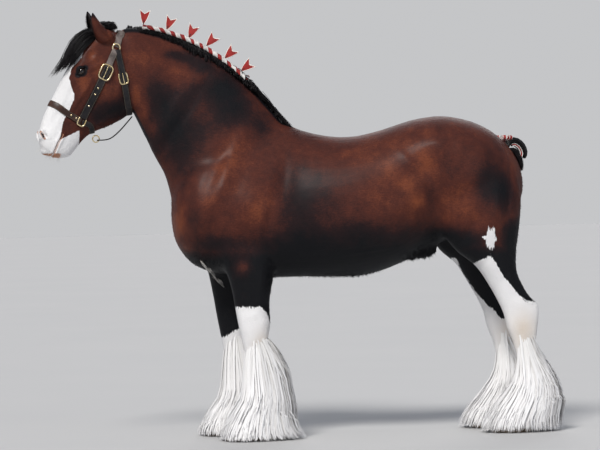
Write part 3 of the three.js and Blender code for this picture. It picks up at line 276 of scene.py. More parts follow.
def muscled(p):
    x, y, z = p.T
    push = sum(height * swell(x, z, *place) for *place, height in MUSCLES)
    return p + vectors(0, np.sign(y) * push * np.minimum(np.abs(y) / 200, 1), 0)


def leg_rows(table, side, stagger):
    rows = np.array(table)
    swing = (stagger if side == RIGHT else 0) * np.clip((1400 - rows[:, 1]) / 500, 0, 1)
    rows[:, 0] += swing
    rows[:, 2] += swing
    rows[:, 8] *= side
    return rows


LEGS = {
    f"{pair}leg_{name}": (leg_rows(table, side, stagger), feather)
    for pair, table, stagger, feather in (
        ("fore", FORELEG, FORE_STAGGER, FORE_FEATHER), ("hind", HINDLEG, HIND_STAGGER, HIND_FEATHER))
    for name, side in SIDES.items()
}

hoof_low, hoof_high = (np.array(c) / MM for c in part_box("forehoof_left"))
SHIFT = np.array([
    hoof_low[0] - (FORELEG[-1][0] - HOOF_TOE),
    (hoof_low[1] + hoof_high[1]) / 2 + FORELEG[-1][8],
    0,
])

BEND_STEPS = 200


def section_middle(u):
    ax, az, bx, bz = np.moveaxis(along(NECK, u)[..., :4], -1, 0)
    return vectors((ax + bx) / 2, 0, (az + bz) / 2)


def turn_angle(u):
    share = np.clip((TURN_FROM - u) / (TURN_FROM - TURN_TO), 0, 1)
    return HEAD_TURN * share * share * (3 - 2 * share)


def turned_by(v, angle):
    c, s = np.cos(angle), np.sin(angle)
    return np.stack([c * v[..., 0] - s * v[..., 1], s * v[..., 0] + c * v[..., 1], v[..., 2]], -1)


def bend_line():
    u = 1 - np.arange(BEND_STEPS + 1) / BEND_STEPS
    steps = np.diff(section_middle(u), axis=0)
    turned = turned_by(steps, turn_angle(u[1:] + 0.5 / BEND_STEPS))
    return np.vstack([section_middle(u[:1]), section_middle(u[:1]) + np.cumsum(turned, axis=0)])


BEND_LINE = bend_line()


def neck_place(p):
    """Where points lie along the neck, found by halving: 0 at the poll and 1 at the shoulder."""
    near = np.zeros(len(p))
    far = np.ones(len(p))
    for _ in range(16):
        u = (near + far) / 2
        ax, az, bx, bz = along(NECK, u)[:, :4].T
        before = (bx - ax) * (p[:, 2] - az) > (bz - az) * (p[:, 0] - ax)
        near = np.where(before, u, near)
        far = np.where(before, far, u)
    return (near + far) / 2


def settle(points):
    """Points of the straight animal, in millimetres, at their place in the frame, in metres."""
    shape = np.shape(points)
    p = np.array(points, float).reshape(-1, 3)
    front = p[:, 0] < NECK[-1][0]
    q = p[front]
    u = neck_place(q)
    place = (1 - u) * BEND_STEPS
    k = np.minimum(np.floor(place).astype(int), BEND_STEPS - 1)
    f = (place - k)[:, None]
    base = BEND_LINE[k] * (1 - f) + BEND_LINE[k + 1] * f
    p[front] = base + turned_by(q - section_middle(u), turn_angle(u))
    return ((p + SHIFT) * MM).reshape(shape)


# Shader nodes
class Value:
    """An output of a shader node. Arithmetic on it adds Math nodes."""

    def __init__(self, finish, socket):
        self.finish = finish
        self.socket = socket

    def math(self, operation, *terms):
        return self.finish.node("Math", {"operation": operation}, dict(enumerate(terms)))

    def __add__(self, other):
        return self.math("ADD", self, other)

    def __radd__(self, other):
        return self.math("ADD", other, self)

    def __sub__(self, other):
        return self.math("SUBTRACT", self, other)

    def __rsub__(self, other):
        return self.math("SUBTRACT", other, self)

    def __mul__(self, other):
        return self.math("MULTIPLY", self, other)

    def __rmul__(self, other):
        return self.math("MULTIPLY", other, self)

    def __truediv__(self, other):
        return self.math("DIVIDE", self, other)

    def __abs__(self):
        return self.math("ABSOLUTE", self)

    def step(self, low, high):
        """0 below low and 1 above high, with a soft way between."""
        sockets = {"Value": self, "From Min": low, "From Max": high}
        return self.finish.node("MapRange", {"interpolation_type": "SMOOTHSTEP"}, sockets)

    def wave(self):
        return self.math("SINE", self)


class Finish:
    """A material built of procedural nodes round one Principled shader."""

    def __init__(self, name, **constants):
        self.material = bpy.data.materials.new(name)
        self.material.use_nodes = True
        self.tree = self.material.node_tree
        self.shader = self.tree.nodes["Principled BSDF"]
        for socket, value in constants.items():
            self.shader.inputs[socket.replace("_", " ")].default_value = value

    def node(self, kind, settings=None, sockets=None, output=0):
        made = self.tree.nodes.new("ShaderNode" + kind)
        for name, value in (settings or {}).items():
            if name == "stops":
                ramp = made.color_ramp
                while len(ramp.elements) < len(value):
                    ramp.elements.new(1)
                for element, (place, colour) in zip(ramp.elements, value):
                    element.position = place
                    element.color = (*colour, 1)
            else:
                setattr(made, name, value)
        for name, value in (sockets or {}).items():
            if isinstance(value, Value):
                self.tree.links.new(value.socket, made.inputs[name])
            else:
                made.inputs[name].default_value = value
        return Value(self, made.outputs[output])

    def place(self, scale=(1, 1, 1)):
        """The point on the object, in metres, stretched by scale."""
        coordinates = self.node("TexCoord", output="Object")
        return self.node("Mapping", None, {"Vector": coordinates, "Scale": scale})

    def noise(self, vector, scale, detail=3.0, roughness=0.55):
        sockets = {"Vector": vector, "Scale": scale, "Detail": detail, "Roughness": roughness}
        return self.node("TexNoise", None, sockets)

    def attribute(self, name):
        return self.node("Attribute", {"attribute_name": name}, output="Fac")

    def ramp(self, value, *stops):
        return self.node("ValToRGB", {"stops": stops}, {"Fac": value})

    def mix(self, share, first, second):
        sockets = {0: share, 6: colour_of(first), 7: colour_of(second)}
        return self.node("Mix", {"data_type": "RGBA"}, sockets, output=2)

    def bump(self, height, distance, strength=1.0, onto=None):
        sockets = {"Height": height, "Distance": distance, "Strength": strength}
        if onto is not None:
            sockets["Normal"] = onto
        return self.node("Bump", None, sockets)

    def feed(self, **sockets):
        for name, value in sockets.items():
            self.tree.links.new(value.socket, self.shader.inputs[name.replace("_", " ")])
        return self.material


def colour_of(value):
    return value if isinstance(value, Value) else (*value, 1)


# Colours, linear
# The palest bay is also the colour of the painted highlights on the coat
PALE_BAY_AND_HIGHLIGHT = (0.225, 0.06, 0.024)
BAY = (0.082, 0.0205, 0.0125)
SEAL = (0.018, 0.0068, 0.0075)
BLACK = (0.0036, 0.0038, 0.0055)
WHITE = (0.83, 0.82, 0.82)
TAN_TINGE = (0.56, 0.42, 0.27)
PINK = (0.44, 0.21, 0.13)
HAIR_SCALE = (6, 22, 16)  # stretches the grain of the short coat along its lie
STITCH = 0.008  # from one stitch of a strap to the next, in metres
RIB = 0.0022  # and from one cross rib of a ribbon to the next


def marked_coat(finish):
    """The colours of skin and coat: bay shading to black, partly the coat's own and partly painted shade and
    painted highlights, and white markings with ragged edges.
    """
    stretched = finish.place((60, 60, 13))
    ragged = finish.noise(stretched, 2.4, 2.0) - 0.5
    mottle = finish.noise(finish.place(), 7.0, 3.0)
    dapple = finish.noise(finish.place((1, 1, 0.8)), 26.0, 2.0)
    grain = finish.noise(finish.place(HAIR_SCALE), 9.0, 2.0)
    fine = finish.noise(finish.place((30, 120, 60)), 5.0, 2.0)
    cloud = finish.noise(finish.place((1, 1, 0.6)), 3.4, 3.0)
    dark = finish.attribute("dark") + (mottle - 0.5) * 0.38 + (cloud - 0.5) * 0.3 + (grain - 0.5) * 0.22
    dark = dark + (dapple - 0.5) * 0.24 + (fine - 0.5) * 0.34
    bay = finish.ramp(dark, (0.0, PALE_BAY_AND_HIGHLIGHT), (0.32, BAY), (0.62, SEAL), (0.9, BLACK))
    edge = finish.attribute("ragged")
    white = (finish.attribute("white") + ragged * edge).step(-0.0012, 0.0022)
    tinge = finish.attribute("tinge") * (mottle + 0.3)
    cream = finish.mix(tinge, WHITE, TAN_TINGE)
    coat = finish.mix(white, bay, cream)
    bare = (finish.attribute("bare") + (mottle - 0.5) * 0.3).step(0.35, 0.75)
    return finish.mix(bare, coat, PINK), grain, bare


def skin_finish():
    finish = Finish("bay_coat_short", Coat_Weight=0.09, Coat_Roughness=0.32, Specular_IOR_Level=0.12)
    colour, grain, bare = marked_coat(finish)
    strand = finish.noise(finish.place((60, 260, 150)), 6.0, 2.0)
    lie = finish.noise(finish.place((16, 60, 34)), 5.0, 3.0)
    vein = finish.noise(finish.place(), 15.0, 2.0)
    height = finish.bump(strand, 0.003, 0.6, finish.bump(lie, 0.006, 0.5, finish.bump(vein, 0.008, 0.35)))
    rough = 0.46 + grain * 0.16 + bare * 0.06
    return finish.feed(Base_Color=colour, Roughness=rough, Normal=height)


def tuft_finish():
    """The same markings on the tufts of short coat."""
    finish = Finish("bay_coat_tufts", Specular_IOR_Level=0.15)
    colour, grain, _ = marked_coat(finish)
    tone = finish.attribute("tone")
    return finish.feed(Base_Color=finish.mix(tone * 0.25, colour, BLACK), Roughness=0.42 + grain * 0.1)


def hair_finish(name, root, tip, glint, roughness, tinge=None):
    """Long hair: its colour runs from root to tip and differs a little from strand to strand."""
    finish = Finish(name, Specular_IOR_Level=0.2)
    tone = finish.attribute("tone")
    run = finish.attribute("run")
    colour = finish.mix(run.step(0.1, 0.9), root, tip)
    colour = finish.mix(tone.step(0.3, 1.0) * 0.6, colour, glint)
    if tinge is not None:
        patch = finish.noise(finish.place((5, 5, 3)), 1.6, 2.0).step(0.52, 0.78)
        colour = finish.mix(patch * 0.5 * finish.attribute("tinge"), colour, tinge)
    streak = finish.noise(finish.place((140, 140, 18)), 3.0, 2.0)
    return finish.feed(
        Base_Color=colour, Roughness=roughness + 0.15 * streak, Normal=finish.bump(streak, 0.0012, 0.35))


def eye_finish():
    """A dark brown eye with a level oval pupil, behind a wet clear surface."""
    finish = Finish("wet_eye", Roughness=0.06, Coat_Weight=0.3, Coat_Roughness=0.02)
    across, level, depth = (finish.attribute(n) for n in ("across", "level", "depth"))
    pupil = (across * across) / 0.2 + (level * level) / 0.045
    ring = across * across + level * level
    streak = finish.noise(finish.place(), 260.0, 3.0)
    iris = finish.mix(streak.step(0.3, 0.7), (0.012, 0.005, 0.003), (0.03, 0.012, 0.005))
    iris = finish.mix(ring.step(0.36, 0.52), iris, (0.006, 0.004, 0.003))
    colour = finish.mix(pupil.step(0.85, 1.15), (0.003, 0.0025, 0.004), iris)
    white = (1 - depth).step(0.62, 0.8)
    return finish.feed(Base_Color=finish.mix(white, colour, (0.25, 0.2, 0.17)))


def horn_finish():
    finish = Finish("hoof_horn", Coat_Weight=0.15, Coat_Roughness=0.35)
    rings = finish.noise(finish.place((2, 2, 60)), 3.0, 2.0)
    grain = finish.noise(finish.place((60, 60, 4)), 8.0, 3.0)
    colour = finish.ramp(rings * 0.5 + grain * 0.5, (0.2, (0.09, 0.06, 0.04)), (0.5, (0.24, 0.17, 0.11)),
                         (0.8, (0.4, 0.31, 0.22)))
    height = finish.bump(rings, 0.0025, 0.6, finish.bump(grain, 0.001, 0.5))
    return finish.feed(Base_Color=colour, Roughness=0.4 + grain * 0.25, Normal=height)


def leather_finish(name, face, worn, edge):
    """Strap leather: a creased line and a row of stitches inside each edge, grain, and paler worn places."""
    finish = Finish(name, Coat_Weight=0.12, Coat_Roughness=0.35, Specular_IOR_Level=0.25)
    across = abs(finish.attribute("across_strap"))
    dash = (finish.attribute("along_strap") * (TURN / STITCH)).wave().step(0.0, 0.3)
    stitch = (1 - abs(across - 0.8).step(0.015, 0.06)) * dash
    crease = 1 - abs(across - 0.9).step(0.01, 0.05)
    grain = finish.noise(finish.place(), 420.0, 3.0)
    wear = finish.noise(finish.place(), 22.0, 4.0)
    colour = finish.mix((wear * 1.3 - grain * 0.3).step(0.35, 0.75), face, worn)
    colour = finish.mix(across.step(0.93, 0.99), colour, edge)
    colour = finish.mix(stitch * 0.75, colour, (0.33, 0.25, 0.15))
    height = finish.bump(grain, 0.0006, 0.5)
    height = finish.bump(stitch - crease, 0.0012, 0.8, height)
    return finish.feed(Base_Color=colour, Roughness=0.3 + wear * 0.22, Normal=height)


def brass_finish():
    finish = Finish("polished_brass", Metallic=1.0)
    rub = finish.noise(finish.place(), 60.0, 4.0)
    colour = finish.ramp(rub, (0.3, (0.62, 0.45, 0.2)), (0.55, (0.85, 0.7, 0.42)), (0.75, (0.9, 0.83, 0.66)))
    return finish.feed(Base_Color=colour, Roughness=0.16 + rub * 0.22, Normal=finish.bump(rub, 0.0004, 0.3))


def ribbon_finish(name, face, shade, edge=None):
    """Woven ribbon: fine cross ribs over a soft sheen, patches of painted shade standing for folds, and a
    paler border if edge is given.
    """
    finish = Finish(name, Sheen_Weight=0.15, Sheen_Roughness=0.35)
    ribs = (finish.attribute("along_strap") * (TURN / RIB)).wave()
    fold = finish.noise(finish.place(), 34.0, 3.0)
    thread = finish.noise(finish.place(), 700.0, 2.0)
    # fold mixes the face towards the shade colour: painted shade where folds would be
    colour = finish.mix((fold * 0.8 + ribs * 0.08).step(0.25, 0.6), shade, face)
    if edge is not None:
        colour = finish.mix(abs(finish.attribute("across_strap")).step(0.72, 0.78), colour, edge)
    height = finish.bump(ribs + thread, 0.0004, 0.5)
    return finish.feed(Base_Color=colour, Roughness=0.5 + fold * 0.2, Normal=height)


def flag_finish():
    """Red cloth with a white bound edge, and patches of painted shade standing for folds."""
    finish = Finish("flag_cloth", Sheen_Weight=0.12)
    weave = finish.noise(finish.place(), 520.0, 2.0)
    fold = finish.noise(finish.place(), 40.0, 2.0)
    # fold mixes in a darker red: painted shade where folds would be
    red = finish.mix(fold, (0.2, 0.006, 0.005), (0.44, 0.016, 0.011))
    edge = (finish.attribute("border") + (weave - 0.5) * 0.05).step(0.5, 0.56)
    colour = finish.mix(edge, red, (0.82, 0.78, 0.72))
    height = finish.bump(weave, 0.0005, 0.5)
    return finish.feed(Base_Color=colour, Roughness=0.55 + weave * 0.2, Normal=height)


# The finishes. Hair: root, tip, glint, roughness. Leather: face, worn places, edge.
# Ribbon: face, painted shade of its folds, border.
TUFTS = tuft_finish()
WHITE_HAIR = hair_finish(
    "white_feather", (0.78, 0.77, 0.76), (0.82, 0.81, 0.81), (0.86, 0.855, 0.86), 0.6, TAN_TINGE)
BLACK_HAIR = hair_finish(
    "black_mane", (0.005, 0.0045, 0.005), (0.011, 0.0095, 0.0105), (0.024, 0.02, 0.022), 0.34)
PALE_HAIR = hair_finish("pale_hair", (0.5, 0.46, 0.4), (0.7, 0.68, 0.64), (0.8, 0.78, 0.75), 0.45)
EAR_HAIR = hair_finish("ear_hair", (0.03, 0.012, 0.009), (0.012, 0.009, 0.009), (0.06, 0.03, 0.02), 0.45)
EYE_WET = eye_finish()
HORN = horn_finish()
PALE_LEATHER = leather_finish(
    "worn_strap_leather", (0.075, 0.058, 0.052), (0.2, 0.165, 0.15), (0.03, 0.022, 0.02))
BROWN_LEATHER = leather_finish(
    "brown_strap_leather", (0.03, 0.014, 0.01), (0.075, 0.036, 0.024), (0.012, 0.007, 0.005))
DARK_LEATHER = leather_finish(
    "dark_strap_leather", (0.005, 0.0045, 0.006), (0.016, 0.013, 0.014), (0.003, 0.003, 0.003))
BRASS = brass_finish()
RED_RIBBON = ribbon_finish("red_ribbon", (0.42, 0.016, 0.012), (0.17, 0.006, 0.005))
WHITE_RIBBON = ribbon_finish("white_ribbon", (0.86, 0.84, 0.8), (0.5, 0.47, 0.45))
BOW_RIBBON = ribbon_finish("edged_ribbon", (0.48, 0.02, 0.014), (0.2, 0.008, 0.006), (0.84, 0.8, 0.76))
# The bow's red ribbon made dark for its knot: painted shade under the loops
SHADED_KNOT_CLOTH = ribbon_finish("shaded_knot_cloth", (0.12, 0.006, 0.006), (0.03, 0.003, 0.004))
BLACK_CLOTH = ribbon_finish("black_cord", (0.012, 0.011, 0.012), (0.005, 0.005, 0.005))
FLAG_CLOTH = flag_finish()


# Pieces
def new_object(name, data):
    made = bpy.data.objects.new(name, data)
    bpy.context.scene.collection.objects.link(made)
    return made


def smooth(mesh):
    mesh.polygons.foreach_set("use_smooth", np.ones(len(mesh.polygons), bool))
    mesh.update()


def write_attribute(mesh, name, values):
    mesh.attributes.new(name, "FLOAT", "POINT").data.foreach_set("value", np.asarray(values, "f").ravel())


def piece(name, mesh, material, slot, *nodes):
    """Links a finished mesh as a piece of the animal and hides the nodes that it stands for."""
    made = new_object(name, mesh)
    mesh.materials.clear()
    mesh.materials.append(material)
    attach(made, "root")
    if nodes:
        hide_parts(*nodes)


def read_points(mesh):
    points = np.empty(len(mesh.vertices) * 3)
    mesh.vertices.foreach_get("co", points)
    return points.reshape(-1, 3)


def write_points(mesh, points):
    mesh.vertices.foreach_set("co", np.asarray(points, "f").ravel())
    mesh.update()


def sheet_of(bm, sides, steps, place, merge=0.02):
    """A grid of quads whose points are place(u along, v round), sewn to a tube with filled ends."""
    made = bmesh.ops.create_grid(bm, x_segments=sides, y_segments=steps, size=0.5)["verts"]
    co = np.array([v.co for v in made])
    for vert, point in zip(made, place(co[:, 1] + 0.5, co[:, 0] + 0.5)):
        vert.co = point
    bmesh.ops.remove_doubles(bm, verts=made, dist=merge)
    kept = [v for v in made if v.is_valid]
    rim = [e for e in {e for v in kept for e in v.link_edges} if e.is_boundary]
    bmesh.ops.holes_fill(bm, edges=rim, sides=0)


def loft(bm, rows, sides, steps, grow=COAT, shape=None):
    def place(u, v):
        points = on_section(along(rows, u), v * TURN, grow=grow)
        return shape(points) if shape else points

    sheet_of(bm, sides, steps, place)


def ball(bm, centre, radii, turn=0.0, segments=24):
    made = bmesh.ops.create_uvsphere(bm, u_segments=segments, v_segments=segments * 2 // 3, radius=1)["verts"]
    bmesh.ops.scale(bm, vec=radii, verts=made)
    bmesh.ops.rotate(bm, cent=(0, 0, 0), matrix=Matrix.Rotation(turn, 3, "Y"), verts=made)
    bmesh.ops.translate(bm, vec=centre, verts=made)


def mesh_of(bm, name):
    bmesh.ops.recalc_face_normals(bm, faces=bm.faces)
    mesh = bpy.data.meshes.new(name)
    bm.to_mesh(mesh)
    bm.free()
    smooth(mesh)
    return mesh


def settled_mesh(bm, name):
    mesh = mesh_of(bm, name)
    write_points(mesh, settle(read_points(mesh)))
    return mesh


# The skin
def evened(bm, spacing):
    """Closed forms that overlap, joined into one surface with an even mesh."""
    shell = new_object("forms", mesh_of(bm, "forms"))
    even = shell.modifiers.new("even", "REMESH")
    even.mode = "VOXEL"
    even.voxel_size = spacing
    graph = bpy.context.evaluated_depsgraph_get()
    made = bpy.data.meshes.new_from_object(shell.evaluated_get(graph))
    bpy.data.objects.remove(shell)
    return made


class Surface:
    """The points and quads of a mesh, for moves that look at each point's neighbours."""

    def __init__(self, mesh):
        self.points = read_points(mesh)
        edges = np.empty(len(mesh.edges) * 2, int)
        mesh.edges.foreach_get("vertices", edges)
        self.edges = edges.reshape(-1, 2)
        mesh.calc_loop_triangles()
        corners = np.empty(len(mesh.loop_triangles) * 3, int)
        mesh.loop_triangles.foreach_get("vertices", corners)
        self.triangles = corners.reshape(-1, 3)
        ends = np.concatenate([self.edges[:, 0], self.edges[:, 1]])
        self.count = np.bincount(ends, minlength=len(self.points))[:, None]

    def gathered(self, index, values):
        return np.stack([np.bincount(index, values[:, k], len(self.points)) for k in range(3)], -1)

    def normals(self):
        a, b, c = (self.points[self.triangles[:, k]] for k in range(3))
        flat = np.cross(b - a, c - a)
        total = sum(self.gathered(self.triangles[:, k], flat) for k in range(3))
        return total / np.maximum(np.linalg.norm(total, axis=1, keepdims=True), 1e-9)

    def pull(self):
        """The way from each point to the middle of its neighbours."""
        first, second = self.edges.T
        total = self.gathered(first, self.points[second]) + self.gathered(second, self.points[first])
        return total / self.count - self.points

    def relax(self, rounds):
        """Evens the surface and keeps its size, as it shrinks and swells it by turns."""
        for _ in range(rounds):
            self.points = self.points + 0.5 * self.pull()
            self.points = self.points - 0.53 * self.pull()

    def fillet(self, rounds):
        """Fills the sharp creases where forms meet and leaves swellings as they are."""
        for _ in range(rounds):
            normals = self.normals()
            pull = self.pull()
            hollow = np.sum(pull * normals, axis=1, keepdims=True)
            self.points = self.points + 0.6 * pull * (hollow > 0)

    def relieve(self, relief):
        """Pushes the outer sides out or in by soft swellings, each with a length, width and slope."""
        normals = self.normals()
        x, y, z = self.points.T
        outward = np.clip(normals[:, 1] * np.sign(y), 0, 1)
        push = np.zeros(len(x))
        for cx, cz, long, short, slope, height in relief:
            c, s = math.cos(math.radians(slope)), math.sin(math.radians(slope))
            a = (x - cx) * c + (z - cz) * s
            b = (z - cz) * c - (x - cx) * s
            push += height * swell(a, b, 0, 0, long, short)
        self.points = self.points + normals * (push * outward)[:, None]


def line_distance(x, z, line):
    """How far points are, in the side view, from a line of points."""
    nearest = np.full(len(x), 1e9)
    for (ax, az), (bx, bz) in zip(line, line[1:]):
        dx, dz = bx - ax, bz - az
        t = np.clip(((x - ax) * dx + (z - az) * dz) / (dx * dx + dz * dz), 0, 1)
        nearest = np.minimum(nearest, np.hypot(x - ax - t * dx, z - az - t * dz))
    return nearest


def eye_frame(p, side):
    """Places round an eye: along its opening, across it, and outwards."""
    rel = p - np.array([EYE[0], side * EYE[1], EYE[2]])
    c, s = math.cos(EYE_TILT), math.sin(EYE_TILT)
    return rel[:, 0] * c + rel[:, 2] * s, rel[:, 2] * c - rel[:, 0] * s, rel[:, 1] * side


def lid_distance(a, b):
    """How far a point is outside the opening between the lids, less than 0 inside it."""
    bow = 1 - np.minimum((a / EYE_HALF) ** 2, 1)
    height = np.where(b > 0, UPPER_LID, LOWER_LID)
    inside = np.abs(b) - height * bow
    beyond = np.abs(a) - EYE_HALF
    return np.where(beyond > 0, np.hypot(np.maximum(beyond, 0), b), inside)


def shape_eyes(p):
    p = p.copy()
    for side in SIDES.values():
        a, b, c = eye_frame(p, side)
        near = (np.hypot(a, b) < 75) & (c > -10)
        out = lid_distance(a, b)
        over = np.sqrt(np.maximum((EYE_RADIUS + LID_THICK) ** 2 - a**2 - b**2, 0))
        hold = np.clip(1 - out / 20, 0, 1) ** 1.2
        lid = np.where(over > 0, c + (over - c) * hold, c)
        brow = 9 * swell(a, b, -2, 31, 30, 11)
        crease = -3.2 * bell(out, 9, 2.6) * (b > 0) * bell(a, 0, 30)
        under = -1.8 * bell(out, 8, 2.4) * (b < 0) * bell(a, 0, 24)
        pouch = 3 * swell(a, b, 0, -26, 26, 8)
        tear = -5 * swell(a, b, -EYE_HALF - 3, 0, 7, 5)
        surface = lid + brow + crease + under + pouch + tear
        sunk = np.sqrt(np.maximum(EYE_RADIUS**2 - a**2 - b**2, 0)) - 7
        new = np.where(out < 0, np.minimum(sunk, surface), surface)
        p[:, 1] = np.where(near, (EYE[1] + new) * side, p[:, 1])
    return p


def shape_muzzle(p, normals):
    """Sinks the line of the mouth and a curled cup in a raised rim for each nostril."""
    x, _, z = p.T
    away = line_distance(x, z, MOUTH_LINE)
    front = (x < -1660) & (z < 1790)
    groove = -7 * bell(away, 0, 3.2) + 3.5 * bell(away, 13, 8)
    p = p + normals * (groove * front * np.clip((-1668 - x) / 16, 0, 1))[:, None]
    cos, sin = math.cos(NOSTRIL_TILT), math.sin(NOSTRIL_TILT)
    for side in SIDES.values():
        rel = p - np.array([NOSTRIL[0], side * NOSTRIL[1], NOSTRIL[2]])
        length = rel[:, 2] * cos + rel[:, 0] * sin
        across = rel[:, 0] * cos - rel[:, 2] * sin - 0.6 * side * rel[:, 1]
        curl = across - 5 * (length / 24) ** 2
        reach = np.hypot(length / 24, curl / 10.5)
        near = (np.sign(rel[:, 1] + side * NOSTRIL[1]) == side) & (np.abs(rel[:, 1]) < 60)
        cup = -13 * np.clip(1.12 - reach, 0, 1) ** 0.5 * (reach < 1.12)
        rim = 2.6 * bell(reach, 1.35, 0.3)
        p = p + normals * ((cup + rim) * near)[:, None]
    return p


def refine(mesh, chosen):
    """Splits the faces whose middles are chosen, for finer detail."""
    bm = bmesh.new()
    bm.from_mesh(mesh)
    faces = [f for f in bm.faces if chosen(f.calc_center_median())]
    edges = list({e for f in faces for e in f.edges})
    bmesh.ops.subdivide_edges(bm, edges=edges, cuts=1, use_grid_fill=True, smooth=0.0)
    bm.to_mesh(mesh)
    bm.free()


def near_detail(co):
    eye = math.hypot(co.x - EYE[0], co.z - EYE[2]) < 56 and abs(co.y) > 60
    nose = math.hypot(co.x - NOSTRIL[0], co.z - NOSTRIL[2]) < 52
    mouth = co.x < -1664 and co.z < 1768
    return eye or nose or mouth


def ear_place(points, side):
    """Points of an upright ear, leaning and turned at its root on the head."""
    out, forward = EAR_LEAN[side]
    lean = Matrix.Rotation(-side * out, 3, "X") @ Matrix.Rotation(-forward, 3, "Y")
    turn = np.array(lean @ Matrix.Rotation(side * EAR_TURN, 3, "Z"))
    return points @ turn.T + np.array([EAR_ROOT[0], side * EAR_ROOT[1], EAR_ROOT[2]])


def ear_shell(bm, side):
    """A cup that opens forward and outward, with a thin rolled edge."""
    def place(u, v):
        z, wide, deep, forward = along(EAR, np.where(u < 0.5, u * 2, (1 - u) * 2)).T
        inner = u > 0.5
        angle = (v - 0.5) * TURN * 0.86
        thin = np.where(inner, 3.2 * np.clip(wide / 20, 0.2, 1), 0)
        fold = np.clip(1 - z / EAR_LENGTH, 0, 1) ** 0.5
        across = (wide - thin) * np.sin(angle) * (0.86 + 0.14 * fold)
        return ear_place(vectors(forward + (deep - thin) * np.cos(angle), across, z), side)

    sheet_of(bm, 28, 40, place, merge=0.4)


def body_part():
    bm = bmesh.new()
    loft(bm, TORSO, 48, 72, shape=muscled)
    loft(bm, NECK, 48, 40)
    for rows, _ in LEGS.values():
        loft(bm, rows, 32, 60)
    ball(bm, (350, 0, 1042), (92, 48, 44))
    ball(bm, (290, 0, 1010), (40, 26, 26))
    mesh = evened(bm, BODY_MESH)
    surface = Surface(mesh)
    surface.relax(4)
    surface.fillet(26)
    surface.relax(3)
    surface.relieve(BODY_RELIEF)
    surface.relax(1)
    write_points(mesh, surface.points)
    return mesh


def head_part():
    bm = bmesh.new()
    loft(bm, HEAD, 56, 90)
    loft(bm, NECK[:5], 48, 40)
    ball(bm, (-1784, 0, 1652), (32, 44, 26))
    ball(bm, (-1722, 0, 1634), (30, 34, 20))
    for side in SIDES.values():
        ball(bm, (-1586, side * 60, 2106), (54, 40, 34), EYE_TILT * -1)
        ball(bm, (-1808, side * 36, 1744), (22, 24, 36), 0.32)
        ball(bm, (EAR_ROOT[0] + 18, side * (EAR_ROOT[1] + 2), EAR_ROOT[2] + 12), (50, 34, 48))
    mesh = evened(bm, HEAD_MESH)
    surface = Surface(mesh)
    surface.relax(5)
    surface.fillet(30)
    surface.relieve(HEAD_RELIEF)
    surface.relax(3)
    write_points(mesh, surface.points)
    refine(mesh, near_detail)
    surface = Surface(mesh)
    surface.relax(2)
    surface.points = shape_muzzle(surface.points, surface.normals())
    surface.points = shape_eyes(surface.points)
    write_points(mesh, surface.points)
    return mesh


def joined_skin():
    """The body and the finer head, cut along one plane of the neck and sewn together."""
    bm = bmesh.new()
    for mesh, keep_front in ((body_part(), False), (head_part(), True)):
        part = bmesh.new()
        part.from_mesh(mesh)
        gap = -3 if keep_front else 3
        bmesh.ops.bisect_plane(
            part, geom=part.verts[:] + part.edges[:] + part.faces[:], dist=0.001,
            plane_co=(HEAD_JOIN + gap, 0, 0), plane_no=(1, 0, 0),
            clear_outer=keep_front, clear_inner=not keep_front)
        part.to_mesh(mesh)
        part.free()
        bm.from_mesh(mesh)
    rim = [e for e in bm.edges if e.is_boundary]
    bmesh.ops.bridge_loops(bm, edges=rim)
    seam = [v for v in bm.verts if abs(v.co.x - HEAD_JOIN) < 30]
    for _ in range(6):
        bmesh.ops.smooth_vert(bm, verts=seam, factor=0.5, use_axis_x=True, use_axis_y=True, use_axis_z=True)
    for side in SIDES.values():
        ear_shell(bm, side)
    return mesh_of(bm, "skin")


# Markings, and the bay's own shading with its painted shade and painted highlights, on the straight animal,
# in millimetres
WHITE_FADE = 60  # the reach of the white is told this far from its edge
PLAIN_BAY = 0.36  # the depth of the bay where nothing shades it
FACE_EDGE = [  # height, and how far back the white of the face reaches there
    (1735, -1712), (1784, -1700), (1824, -1689), (1874, -1661), (1936, -1632), (1964, -1630),
    (2003, -1644), (2055, -1656), (2110, -1640), (2165, -1590), (2221, -1566), (2262, -1572), (2300, -1640),
]
FORE_EDGE = {  # x, and the height of the white there
    LEFT: [(-745, 752), (-600, 748), (-565, 712), (-545, 640)],
    RIGHT: [(-800, 556), (-745, 585), (-700, 613), (-650, 590)],
}
HIND_EDGE = {
    LEFT: [
        (600, 940), (640, 977), (700, 1004), (732, 975), (778, 890), (827, 832), (876, 774),
        (910, 741), (960, 736),
    ],
    RIGHT: [(570, 985), (607, 905), (687, 779), (745, 713), (779, 689), (819, 629)],
}
